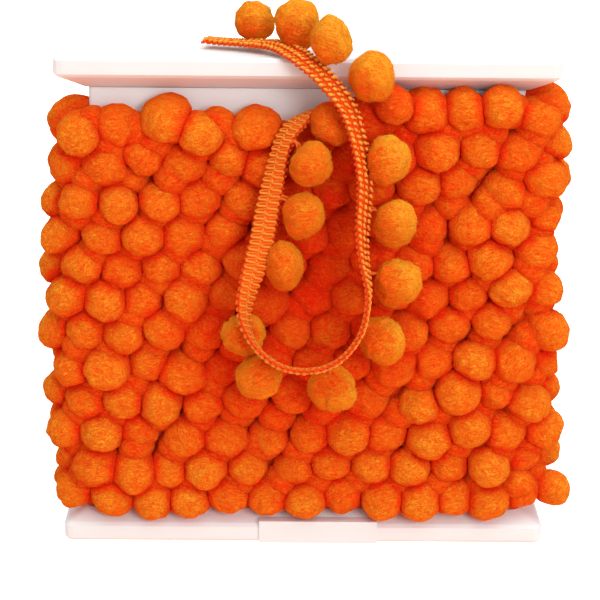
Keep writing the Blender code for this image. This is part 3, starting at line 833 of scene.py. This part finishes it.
def dressed_pompom(center, size, template, fuzz, chance, out, painted_shade_at, pressing=None, seen=None):
    """Points, triangles, places and marks of a pompom with its fuzz; the function passed for shade gives the
    shade painted on it.
    """
    directions, triangles = template
    form = random_form(chance, fuzz["unevenness"])
    turning = strand_turning(np.cross(out, (0.0, 0.0, 1.0)), chance)
    shift = chance.uniform(-PLACE_SHIFT, PLACE_SHIFT, 3)
    tone = chance.random()
    fibre_ways = unit(chance.normal(size=(fuzz["count"], 3)))

    def surface(ways):
        points = center + ways * form_radius(ways, form)[:, None] * size
        if pressing is not None:
            points = press(points, center, size.mean(), *pressing)
            points = points - out * (HANG * (points[:, 2] - center[2]))[:, None]
        return points

    points = surface(directions)
    # Shade painted on the pompom: in the tie's pit and wherever the function passed for shade puts it.
    painted_shade = combined(PIT_PAINTED_SHADE * pit_depth(directions, form), painted_shade_at(points, directions))
    marks = felt_marks(tone, painted_shade, np.zeros(len(points)))
    ball = (points, triangles, (points - center) @ turning + shift, marks)
    if seen is not None:
        fibre_ways = fibre_ways[seen(center + fibre_ways * size, fibre_ways)]
    count = len(fibre_ways)
    lengths = chance.uniform(*fuzz["lengths"], count)
    widths = chance.uniform(*fuzz["widths"], count)
    roots = center + (surface(fibre_ways) - center) * ROOT_DEPTH
    spikes, triangles = make_fibres(roots, fibre_ways, lengths, widths, fuzz["standing"], chance)
    places = np.repeat(roots - center, 4, axis=0) @ turning + shift
    tips = np.tile((0.0, 0.0, 0.0, fuzz["tip"]), count)
    marks = felt_marks(tone, np.repeat(painted_shade_at(roots, fibre_ways), 4), tips)
    return join_arrays([ball, (spikes, triangles, places, marks)])


def felt_piece(name, balls, material, replaced):
    """One mesh of several dressed pompoms."""
    points, triangles, places, marks = join_arrays(balls)
    attributes = {"felt_place": places, "felt_marks": marks}
    return make_piece(name, points, triangles, material, replaced, attributes)


# %% [markdown]
# The trim is wound in more than one layer, so others look out from deeper down between the outer pompoms.
# They lie in shade, are painted darker all over and near the outer pompoms, and only fill the gaps, so a
# coarser ball without fuzz is enough.

# %% Inner layer
INNER_RADIUS = 4.7
INNER_REACH = 4.2
# Inner pompoms are painted darker all over, and more near the outer pompoms, as shade.
INNER_PAINTED_SHADE = 0.15
INNER_CREVICE_SHARE = 0.55
INNER_SHIFT = 0.25
INNER_SPREAD = 0.8
INNER_SEED = 11
INNER_END_LEFT = -15.0
INNER_END_RIGHT = 11.0
INNER_BALL = even_ball(3)
INNER_FUZZ = {**PILE_FUZZ, "count": 0}


def outward_of(center):
    """Way out of the pile at a pompom: away from the nearest point of the panel."""
    half_width = PANEL_WIDTH / 2
    nearest_x = min(max(center[0], -half_width), half_width)
    return unit(np.array((center[0] - nearest_x, center[1], 0.0)))


def inner_pompoms(turn, chance):
    """The inner layer's pompoms between one turn and the next."""
    foot, outward = even_row(turn, INNER_SHIFT)
    flat = foot + outward * INNER_REACH
    above = min(turn + 1, len(TURNS) - 1)
    height = (turn_height(turn, flat[:, 0]) + turn_height(above, flat[:, 0])) / 2
    centers = np.column_stack((flat, height))
    centers += chance.uniform(-INNER_SPREAD, INNER_SPREAD, centers.shape)
    centers = centers[clear_of_free_end(turn, centers, INNER_END_LEFT, INNER_END_RIGHT)]

    def painted_shade_at(points, ways):
        near_outer = INNER_CREVICE_SHARE * crevice(points, BALL_CENTERS, BALL_RADII)
        return combined(INNER_PAINTED_SHADE, near_outer, behind_free_end(points))

    size = np.full(3, INNER_RADIUS)
    return [dressed_pompom(center, size, INNER_BALL, INNER_FUZZ, chance, outward_of(center), painted_shade_at)
            for center in centers]


# %% All turns of the pile
LEAST_FACING = -0.25
TOUCHING_GAP = 0.6
COVERED_GAP = 0.15
PILE_SEED = 23
PILE_SQUASH = np.array((1.04, 1.02, 0.93))
# Painted shade on the pile behind the free end's pompoms and inside its loop.
FREE_SHADE_SHIFT = (-1.5, -3.0)
FREE_SHADE_WIDTH = 11.0
FREE_SHADE_SHARE = 0.85
LOOP_INSIDE = ((1.0, 66.0), (0.0, 76.0), (3.0, 86.0))
FREE_BALLS = np.array((
    # x, y, z, width, height
    (1.2, -20.4, 99.5, 10.6, 10.4),
    (-1.0, -21.2, 87.4, 9.6, 11.6),
    (-5.2, -21.8, 75.4, 9.4, 11.6),
    (-14.8, -20.4, 57.6, 11.0, 10.0),
    (-11.1, -22.4, 47.8, 11.6, 11.2),
    (6.5, -22.4, 44.8, 11.4, 11.4),
    (18.0, -21.6, 57.0, 11.0, 11.4),
    (21.5, -21.4, 71.2, 10.6, 12.0),
    (20.3, -21.4, 85.4, 10.4, 12.0),
    (18.6, -20.6, 100.7, 10.4, 11.8),
    (14.6, -17.9, 119.6, 11.4, 11.4),
    (5.4, -15.4, 127.2, 9.6, 12.4),
    (-2.6, -4.4, 129.2, 11.0, 11.2),
    (-12.8, 4.6, 128.6, 9.6, 9.8),
))


def reach_of(center):
    """Distance of a pompom's middle from the panel."""
    beyond = np.abs(center[:2]) - np.array((PANEL_WIDTH, PANEL_THICKNESS)) / 2
    return np.linalg.norm(np.clip(beyond, 0.0, None))


def behind_free_end(points):
    """How much shade is painted on each point of the pile behind the free end's pompoms and inside its loop.
    """
    shaders = np.concatenate((FREE_BALLS[:, [0, 2]] + FREE_SHADE_SHIFT, LOOP_INSIDE))
    flat = points[:, None, [0, 2]] - shaders[None, :, :]
    near = np.exp(-((flat ** 2).sum(axis=2) / FREE_SHADE_WIDTH ** 2)).max(axis=1)
    return FREE_SHADE_SHARE * near * (points[:, 1] < 0)


def make_pile():
    chance = np.random.default_rng(PILE_SEED)
    inner_chance = np.random.default_rng(INNER_SEED)
    by_turn = [inner_pompoms(turn, inner_chance) for turn in range(len(TURNS))]
    for center, radius, turn in zip(BALL_CENTERS, BALL_RADII, BALL_TURNS):
        distance = np.linalg.norm(BALL_CENTERS - center, axis=1)
        near = (distance < radius + BALL_RADII + TOUCHING_GAP) & (distance > 0)
        pressing = (BALL_CENTERS[near], BALL_RADII[near])
        out = outward_of(center)
        # Painted shade on pompoms set back from the face of the pile.
        set_back_shade = DEPTH_SHARE * (FACE_REACH + REACH_OUTWARD - reach_of(center))

        def seen(points, ways):
            return (clearances(points, *pressing) > COVERED_GAP).all(axis=1) & (ways @ out > LEAST_FACING)

        def painted_shade_at(points, ways):
            touching = crevice(points, *pressing)
            return combined(turned_in(ways, out), touching, set_back_shade, behind_free_end(points))

        size = radius * PILE_SQUASH
        by_turn[turn].append(
            dressed_pompom(center, size, PILE_BALL, PILE_FUZZ, chance, out, painted_shade_at, pressing, seen))
    for turn, balls in enumerate(by_turn, start=1):
        felt_piece(f"pompoms_turn_{turn:02d}", balls, pile_felt, "wound_trim")


make_pile()

# %% [markdown]
# ## The wound tape behind the pompoms
# Between the pompoms the tape itself can just be seen, deep in the shade. Twelve separate bands would hide
# one another and leave slits, so one closed sleeve is drawn: its outer face bulges at each turn, and its
# upper side steps with the layers that lie on each other. The ribs of the crochet are left to bump.

# %% Sleeve of wound tape
SLEEVE_COLUMNS = 160
ROWS_PER_TURN = 5
SLEEVE_REACH = 2.8
SLEEVE_BULGE = 0.9
SLEEVE_LOW = 7.2
SLEEVE_LOW_INSIDE = 9.6
SLEEVE_TOP_OVER_TURN = -0.6
BULGE_HALF_HEIGHT = 4.0
LAYERS = 4
LAYER_STEP = 0.35
WAVERS = (
    # size, rate, start
    (0.25, 0.37, 0.0),
    (0.20, 0.11, 1.0),
)


def sleeve_ring(distance):
    """Reach and height of the sleeve's section at one place, from inside bottom to inside top."""
    foot, _ = around_panel([distance])
    middles = np.array([turn_height(turn, foot[0, 0]) for turn in range(len(TURNS))])
    top = middles[-1] + SLEEVE_TOP_OVER_TURN
    heights = np.linspace(SLEEVE_LOW, top, ROWS_PER_TURN * len(TURNS))
    from_middle = np.abs(heights[:, None] - middles).min(axis=1)
    waver = sum(size * math.sin(distance * rate + start) for size, rate, start in WAVERS)
    bulge = np.clip(1.0 - (from_middle / BULGE_HALF_HEIGHT) ** 4, 0.0, 1.0)
    reach = SLEEVE_REACH + SLEEVE_BULGE * bulge + waver
    steps = np.linspace(reach[-1], GAP, 2 * LAYERS + 1)[1:]
    layers = top - LAYER_STEP * (np.arange(2 * LAYERS) % 2 == 0)
    return np.concatenate(((GAP,), reach, steps)), np.concatenate(((SLEEVE_LOW_INSIDE,), heights, layers))


def make_wound_tape(material):
    distances = np.arange(SLEEVE_COLUMNS) / SLEEVE_COLUMNS * TURN_LENGTH
    points = []
    lay = []
    for distance, foot, way in zip(distances, *around_panel(distances)):
        reach, height = sleeve_ring(distance)
        points.append(np.column_stack((foot + way * reach[:, None], height)))
        lay.append(np.column_stack((np.full(len(reach), distance), height, reach)))
    count = len(points[0])
    column, row = np.mgrid[:SLEEVE_COLUMNS, :count]
    here = column * count
    after = (column + 1) % SLEEVE_COLUMNS * count
    above = (row + 1) % count
    corners = (here + row, after + row, after + above, here + row, after + above, here + above)
    triangles = np.stack(corners, axis=-1).reshape(-1, 3)
    points, lay = np.concatenate(points), np.concatenate(lay)
    make_piece("wound_tape", points, triangles, material, "wound_trim", {"tape_lay": lay})


# %% [markdown]
# ## The finish of the tape yarn
# The tape is worked from a smoother, tighter yarn than the pompoms. On the hanging tape every loop is
# modelled, so the finish adds the twist of the plies and paints each point by its height over the tape's
# ground: a painted highlight, pale orange yellow, on the tops and painted shade, orange red, in the
# hollows. On the wound tape the ribs themselves are relief in the finish, and its yarn is painted deeper
# red, as the shade it lies in.

# %% Tape yarn
GROUND_SHADE_ORANGE = (0.94, 0.14, 0.008)
# Colours by height: painted shade, deep red, at the ground and a painted highlight, pale yellow, on top.
YARN_COLORS = (
    # height over the ground, red, green, blue
    (0.00, 0.72, 0.015, 0.003),
    (0.35, 0.76, 0.086, 0.006),
    (0.70, 0.76, 0.222, 0.013),
    (1.00, 1.00, 0.450, 0.070),
)
# The wound tape's yarn, painted darker and redder as the shade between the pompoms.
WOUND_COLORS = (
    # place, red, green, blue
    (0.32, 0.85, 0.030, 0.004),
    (0.50, 0.93, 0.060, 0.005),
    (0.70, 0.96, 0.120, 0.008),
)
LOOP_PITCH = 1.5
RIB_SCALE = 2 * math.pi / (20.0 * LOOP_PITCH / 2)
PLY_SHARE = 0.5


def yarn_finish(name, place, relief_scale, colors, height=None):
    """Twisted yarn; its colours follow the twist, or, if that is given, the height over the tape's ground,
    with painted shade low down and a painted highlight on top.
    """
    soft = (0.62, 0.12, 0.2, 0.4, (1.0, 0.6, 0.2), 0.1, (1.0, 0.3, 0.08), 0.0005)
    material, tree, shader = new_finish(name, dict(zip(SOFT_SETTINGS, soft)))
    where = place(tree)
    plies = add_noise(tree, where, relief_scale, detail=3.0, roughness=0.6)
    shade = plies
    if height is not None:
        uneven = add_math(tree, "ADD", height(tree), add_math(tree, "MULTIPLY", plies, PLY_SHARE))
        shade = add_math(tree, "SUBTRACT", uneven, PLY_SHARE / 2)
    put(tree, shader.inputs["Base Color"], add_ramp(tree, shade, colors))
    relief = add_bump(tree, shader, plies, distance=0.0002, strength=0.5)
    return material, tree, shader, where, relief


def make_ribbed_yarn():
    """Yarn finish whose ribs run across the wound tape."""
    material, tree, shader, where, relief = yarn_finish(
        "wound_tape_yarn", lambda tree: read_attribute(tree, "tape_lay"), 2.5, WOUND_COLORS)
    settings = {"Vector": where, "Scale": RIB_SCALE, "Distortion": 0.6, "Detail Scale": 1.0}
    ribs = add_node(tree, "TexWave", settings, bands_direction="X").outputs["Fac"]
    add_bump(tree, shader, ribs, distance=0.0004, strength=0.8, before=relief)
    return material


ribbed_yarn = make_ribbed_yarn()
make_wound_tape(ribbed_yarn)

# %% [markdown]
# ## The crocheted tape
# On one face of the tape, two columns of yarn run from side to side and turn back in rounded loops, with
# small stitches down the middle. On the other, three chains of plump slanted stitches hold them together. A
# displaced strip would smear at the loops' ends, where the hollow eye of each loop shows. So every loop is
# a thin tube along a winding path, every stitch is a pair of small lobes, and a thin ground of threads,
# painted in deep shade, closes the gaps.

# %% Tubes and strips
def loft(rings):
    """Points and triangles of a closed body through rings of points, an array of ring, point, axis."""
    count, sides, _ = rings.shape
    middles = (rings[0].mean(axis=0), rings[-1].mean(axis=0))
    points = np.concatenate((rings.reshape(-1, 3), middles))
    around = np.arange(sides)
    following = (around + 1) % sides
    starts = np.arange(count - 1)[:, None] * sides
    here, beside, after = starts + around, starts + following, starts + following + sides
    walls = [np.stack(corners, axis=2).reshape(-1, 3)
             for corners in ((here, beside, after), (here, after, here + sides))]
    last = (count - 1) * sides
    start_cap = np.column_stack((following, around, np.full(sides, len(points) - 2)))
    end_cap = np.column_stack((last + around, last + following, np.full(sides, len(points) - 1)))
    return points, np.concatenate((*walls, start_cap, end_cap))


def tube(path, up, radius, sides):
    """A tube along a path; up is roughly square to the path at each point."""
    along = unit(np.gradient(path, axis=0))
    side = unit(np.cross(along, up))
    rise = np.cross(side, along)
    angles = np.arange(sides) / sides * 2 * math.pi
    ring = side[:, None] * np.cos(angles)[:, None] + rise[:, None] * np.sin(angles)[:, None]
    return loft(path[:, None] + ring * radius)


# %% Columns of looped yarn
TAPE_WIDTH = 5.8
YARN_RADIUS = 0.31
LOOP_POINTS = 14
COLUMN_REACH = 1.28
COLUMN_MIDDLE = 1.36
LOOP_BUNCHING = 0.80
LOOP_UNEVENNESS = 0.06
LOOP_OUT = 0.16
LOOP_SWAY = 0.08
YARN_SIDES = 6


def looped_column(first, loops, middle, reach, start, chance):
    """Flat path of a yarn that runs from side to side and turns back in round loops."""
    phase = np.arange(loops * LOOP_POINTS) / LOOP_POINTS * 2 * math.pi
    along = first + LOOP_PITCH * phase / (2 * math.pi)
    along = along - LOOP_PITCH / (4 * math.pi) * LOOP_BUNCHING * np.sin(2 * (phase + start))
    uneven = np.repeat(chance.normal(scale=LOOP_UNEVENNESS, size=2 * loops), LOOP_POINTS // 2)
    across = middle + (reach + uneven) * np.sin(phase + start)
    out = LOOP_OUT + LOOP_SWAY * np.cos(phase + start)
    return np.column_stack((np.clip(along, first, first + loops * LOOP_PITCH), across, out))


def make_columns(first, loops, chance):
    rows = ((-COLUMN_MIDDLE, 0.0), (COLUMN_MIDDLE, math.pi))
    paths = [looped_column(first, loops, middle, COLUMN_REACH, start, chance) for middle, start in rows]
    return join_arrays([tube(path, np.array((0.0, 0.0, 1.0)), YARN_RADIUS, YARN_SIDES) for path in paths])


# %% Chains of stitches
CHAIN_PLACES = (-2.15, 0.0, 2.15)
CHAIN_LOBES = (
    # along, across, out, length, width, height, slant in degrees, fineness
    (0.12, -0.26, -0.46, 0.72, 0.46, 0.48, -40.0, 2),
    (-0.34, 0.50, -0.42, 0.52, 0.38, 0.42, -54.0, 1),
)
MIDDLE_LOBES = (
    (0.0, -0.20, 0.44, 0.42, 0.20, 0.20, 38.0, 1),
    (0.72, 0.20, 0.44, 0.42, 0.20, 0.20, -38.0, 1),
)
LOBE_SIZES = (0.84, 1.12)
LOBE_SLANT_SCATTER = 0.28
LOBE_WANDER = 0.08
STITCH_START = 0.4
STITCH_STAGGER = 0.4
LOBE_BALLS = {fineness: even_ball(fineness) for fineness in (1, 2)}


def stitch_lobe(distance, across, lobe, chance):
    """One plump lobe of a stitch, as flat places turned by its slant."""
    along_by, across_by, out, length, width, height, slant, fineness = lobe
    directions, triangles = LOBE_BALLS[fineness]
    local = directions * np.array((length, width, height)) * chance.uniform(*LOBE_SIZES, 3)
    turn = math.radians(slant) + chance.normal(scale=LOBE_SLANT_SCATTER)
    along = local[:, 0] * math.cos(turn) - local[:, 1] * math.sin(turn) + distance + along_by
    sideways = local[:, 0] * math.sin(turn) + local[:, 1] * math.cos(turn) + across + across_by
    wander = chance.normal(scale=LOBE_WANDER, size=2)
    return np.column_stack((along + wander[0], sideways + wander[1], local[:, 2] + out)), triangles


def make_stitches(first, loops, chance):
    parts = []
    rows = [(middle, CHAIN_LOBES) for middle in CHAIN_PLACES] + [(0.0, MIDDLE_LOBES)]
    for row, (middle, lobes) in enumerate(rows):
        start = first + (STITCH_START + STITCH_STAGGER * (row % 2)) * LOOP_PITCH
        for stitch in range(loops):
            for lobe in lobes:
                flat, triangles = stitch_lobe(start + stitch * LOOP_PITCH, middle, lobe, chance)
                flat[:, 0] = np.clip(flat[:, 0], first, first + loops * LOOP_PITCH)
                parts.append((flat, triangles))
    return join_arrays(parts)


# %% Ground of the tape
GROUND_WIDTH = 4.9
GROUND_THICKNESS = 0.36
GROUND_STEP = 0.6


def make_ground(first, loops):
    """A thin strip of shaded threads inside the tape."""
    distance = np.arange(first, first + loops * LOOP_PITCH, GROUND_STEP)
    across, out = GROUND_WIDTH / 2, GROUND_THICKNESS / 2
    corners = ((-across, -out), (across, -out), (across, out), (-across, out))
    rings = [[(place, *corner) for corner in corners] for place in distance]
    return loft(np.array(rings))


# %% Finish of the hanging tape
TAPE_SEED = 31
# The ground strip is painted in shade: red under the stitches, orange under the loops.
GROUND_SHADE_RED = (0.86, 0.035, 0.003)
GROUND_CONTRAST = 2.0


def object_place(tree):
    """Place on the object in millimetres."""
    place = add_node(tree, "TexCoord", {}).outputs["Object"]
    return add_node(tree, "VectorMath", {0: place, "Scale": 1 / MM}, operation="SCALE").outputs["Vector"]


def make_ground_finish():
    """Threads painted in shade: red under the stitches and orange under the loops."""
    material, tree, shader = new_finish("ground_threads_painted_shade", {"Roughness": 0.9, "Specular IOR Level": 0.1})
    loop_side = add_math(tree, "MULTIPLY", read_height(tree), GROUND_CONTRAST, clamp=True)
    put(tree, shader.inputs["Base Color"], add_mix(tree, loop_side, GROUND_SHADE_RED, GROUND_SHADE_ORANGE))
    threads = add_noise(tree, object_place(tree), scale=2.4, detail=2.0)
    add_bump(tree, shader, threads, distance=0.0003, strength=0.6)
    return material


# Height shares for the painted colours: loops run from the ground's painted shade to near the top's painted
# highlight.
LOOP_TOP = 0.54
LOOP_MARKS = (0.00, 0.86)
CHAIN_TOP = 0.94


def read_height(tree):
    """Height over the tape's ground, 0 at the ground and 1 on top of a loop or a stitch."""
    return split(tree, read_attribute(tree, "tape_height"))["X"]


def height_marks(out):
    """The attribute that carries the height share of points at distances out of the tape's face."""
    loop_share = np.interp(out, (0.0, LOOP_TOP), LOOP_MARKS)
    share = np.where(out > 0, loop_share, np.clip(-out / CHAIN_TOP, 0.0, 1.0))
    return {"tape_height": np.column_stack((share, share, share))}


plied_yarn = yarn_finish("plied_yarn", object_place, 3.2, YARN_COLORS, read_height)[0]
ground_finish = make_ground_finish()
tape_chance = np.random.default_rng(TAPE_SEED)


def make_tape(name, first, loops, replaced):
    """A stretch of the tape from a first distance on, so many loops long, and the ground inside it."""
    loops_and_stitches = [make_columns(first, loops, tape_chance), make_stitches(first, loops, tape_chance)]
    pieces = []
    for label, (flat, triangles), material in (
            (name, join_arrays(loops_and_stitches), plied_yarn),
            (name + "_ground", make_ground(first, loops), ground_finish)):
        marks = height_marks(flat[:, 2])
        pieces.append(make_piece(label, on_tape(flat), triangles, material, replaced, marks))
    return pieces


LEAD_LOOPS = int(LEAD_LENGTH / LOOP_PITCH)
free_tape, free_tape_ground = make_tape("free_tape", 0.0, int(TAPE_LENGTH / LOOP_PITCH), "loose_tape")
make_tape("tape_lead", -LEAD_LOOPS * LOOP_PITCH, LEAD_LOOPS, "wound_trim")

# %% [markdown]
# ## The pompoms of the free end
# These fourteen are seen whole, so they get a finer ball and far more fuzz than those of the pile, and each
# has its own width and height. They stand a little off the tape on their ties. Each is painted darker, as
# shade, on the side away from the light and on the side towards its tie, and the three inside the loop are
# painted darker still.

# %% Free pompoms
FREE_SEED = 41
# Painted shade: the side away from FREE_LIT, the side towards the tie, and the first three pompoms, inside
# the loop.
FREE_SIDE_PAINTED_SHADE = 0.4
FREE_LIT = np.array((0.40, -0.50, 0.77))
TIE_SIDE_PAINTED_SHADE = 0.65
TIED_SHARPNESS = 1.5
FREE_LIT_START = 0.75
INSIDE_BALLS = 3
INSIDE_LOOP_PAINTED_SHADE = 0.30
FREE_OUT = np.array((0.0, -1.0, 0.0))


def make_free_pompoms():
    chance = np.random.default_rng(FREE_SEED)
    balls = []

    def painted_shade_at(points, ways):
        tied = np.clip(ways @ to_tape, 0.0, 1.0) ** TIED_SHARPNESS
        lit_and_tie_shade = combined(FREE_SIDE_PAINTED_SHADE * (FREE_LIT_START - ways @ FREE_LIT), TIE_SIDE_PAINTED_SHADE * tied)
        return combined(lit_and_tie_shade, inside)

    for index, (x, y, z, width, height) in enumerate(FREE_BALLS):
        inside = INSIDE_LOOP_PAINTED_SHADE if index < INSIDE_BALLS else 0.0
        size = np.array((width, width, height)) / 2
        center = np.array((x, y, z))
        to_tape = unit(TAPE_MIDDLE[np.linalg.norm(TAPE_MIDDLE - center, axis=1).argmin()] - center)
        balls.append(dressed_pompom(center, size, FREE_BALL, FREE_FUZZ, chance, FREE_OUT, painted_shade_at))
    return felt_piece("free_pompoms", balls, free_felt, "loose_fringe")


free_pompoms = make_free_pompoms()

# %% [markdown]
# ## Ties
# Each pompom hangs on the yarn that ties it: two strands leave the tape's edge close together, arch, and go
# into the felt. They are short tubes on a curve with one control point, with a little scatter.

# %% Ties of the free pompoms
TIE_RADIUS = 0.30
TIE_POINTS = 12
TIE_ARCH = 0.9
TIE_RISE = 3.2
TIE_HEIGHT_MARK = 0.55
HANGING_BELOW = 110.0
TIE_SIDES = 6
TIE_DEPTH = 0.8
TIE_BEND = 0.8
TIE_RISE_SHARE = 0.4
TIE_SCATTER = 0.4
ROOT_INSET = 0.3
ROOT_SPACING = 0.35
GOAL_SPACING = 0.5
GOAL_SCATTER = 0.25
END_MARGIN = 8


def tie_strand(root, goal, bend, spread):
    """Path of one strand from the tape's edge into the pompom."""
    share = np.linspace(0.0, 1.0, TIE_POINTS)[:, None]
    control = (root + goal) / 2 + bend
    return root * (1 - share) ** 2 + control * 2 * share * (1 - share) + (goal + spread) * share ** 2


def make_ties():
    chance = np.random.default_rng(FREE_SEED + 1)
    edge = TAPE_MIDDLE + TAPE_LEAN * (TAPE_WIDTH / 2 - ROOT_INSET)
    parts = []
    for *center, width, _ in FREE_BALLS:
        rise = np.array((0.0, 0.0, TIE_RISE if center[2] < HANGING_BELOW else 0.0))
        nearest = int(np.linalg.norm(edge - center - rise, axis=1).argmin())
        nearest = min(max(nearest, END_MARGIN), TAPE_STATIONS - END_MARGIN)
        start, along, lean, face = (axes[nearest] for axes in (edge, TAPE_ALONG, TAPE_LEAN, TAPE_FACE))
        goal = center + unit(start - center) * width / 2 * TIE_DEPTH
        for side in (-1, 1):
            root = start + along * ROOT_SPACING * side
            bend = lean * TIE_BEND + rise * TIE_RISE_SHARE + along * chance.normal(scale=TIE_SCATTER)
            bend = bend + face * TIE_ARCH * side
            spread = along * GOAL_SPACING * side + chance.normal(scale=GOAL_SCATTER, size=3)
            parts.append(tube(tie_strand(root, goal, bend, spread), face, TIE_RADIUS, TIE_SIDES))
    points, triangles = join_arrays(parts)
    marks = height_marks(np.full(len(points), TIE_HEIGHT_MARK * LOOP_TOP))
    return make_piece("free_ties", points, triangles, plied_yarn, "loose_fringe", marks)


free_ties = make_ties()

# %% [markdown]
# The free end is a limp flat cord with its real length and width, and the pieces that hang on it.

print("free end declared,", round(float(TAPE_LENGTH), 1), "mm")

# %% [markdown]
# ## Floor, light and air
# The trim stands on a plain white sweep in soft light. A key light stands low in front on the right, a
# broad one hangs above, and a third lights the floor behind. White surroundings keep the shadows open, and
# warm light from below brightens the pompoms' undersides. The plain view transform shows the colours as
# they are.

# %% Floor
FLOOR_SIZE = 6.0
FLOOR_WHITE = (0.93, 0.93, 0.93)


def make_floor():
    builder = bmesh.new()
    bmesh.ops.create_grid(builder, x_segments=1, y_segments=1, size=FLOOR_SIZE / 2)
    mesh = bpy.data.meshes.new("floor")
    builder.to_mesh(mesh)
    builder.free()
    material, _, _ = new_finish("white_sweep", {
        "Base Color": FLOOR_WHITE,
        "Roughness": 0.9,
        "Specular IOR Level": 0.1,
        "Emission Color": (1.0, 1.0, 1.0),
        "Emission Strength": 0.9,
    })
    mesh.materials.append(material)
    floor = add_object("floor", mesh)
    floor.visible_diffuse = False


make_floor()
print("floor", FLOOR_SIZE, "m across")

# %% Lights and view
LIGHTS = (
    # name, x, y, z, size, power
    ("key", 0.42, -0.95, 0.40, 0.40, 4.5),
    ("top", 0.15, -0.15, 1.10, 1.4, 6.5),
    ("back", 0.00, 0.90, 0.95, 1.0, 3.5),
)
LIGHT_TARGET = Vector((0.0, 0.0, 0.06))
AIR = (
    # height of the way looked, red, green, blue
    (0.00, 1.85, 0.68, 0.38),
    (0.40, 0.63, 0.53, 0.48),
    (0.58, 0.62, 0.62, 0.62),
    (1.00, 1.00, 1.00, 1.00),
)


def make_light(name, x, y, z, size, power):
    light = add_object(name, bpy.data.lights.new(name, "AREA"))
    light.data.size = size
    light.data.energy = power
    light.location = (x, y, z)
    aim = Vector((x, y, 0.0)) if name == "back" else LIGHT_TARGET
    light.rotation_euler = (aim - light.location).to_track_quat("-Z", "Y").to_euler()


for row in LIGHTS:
    make_light(*row)


def make_air():
    """White surroundings, bright overhead and warm below."""
    world = bpy.data.worlds.new("studio")
    world.use_nodes = True
    tree = world.node_tree
    way = add_node(tree, "TexCoord", {}).outputs["Generated"]
    height = add_math(tree, "MULTIPLY_ADD", split(tree, way)["Z"], 0.5, 0.5)
    put(tree, tree.nodes["Background"].inputs["Color"], add_ramp(tree, height, AIR))
    bpy.context.scene.world = world


make_air()
bpy.context.scene.view_settings.view_transform = "Standard"
print(len(LIGHTS), "lights and a white surrounding")
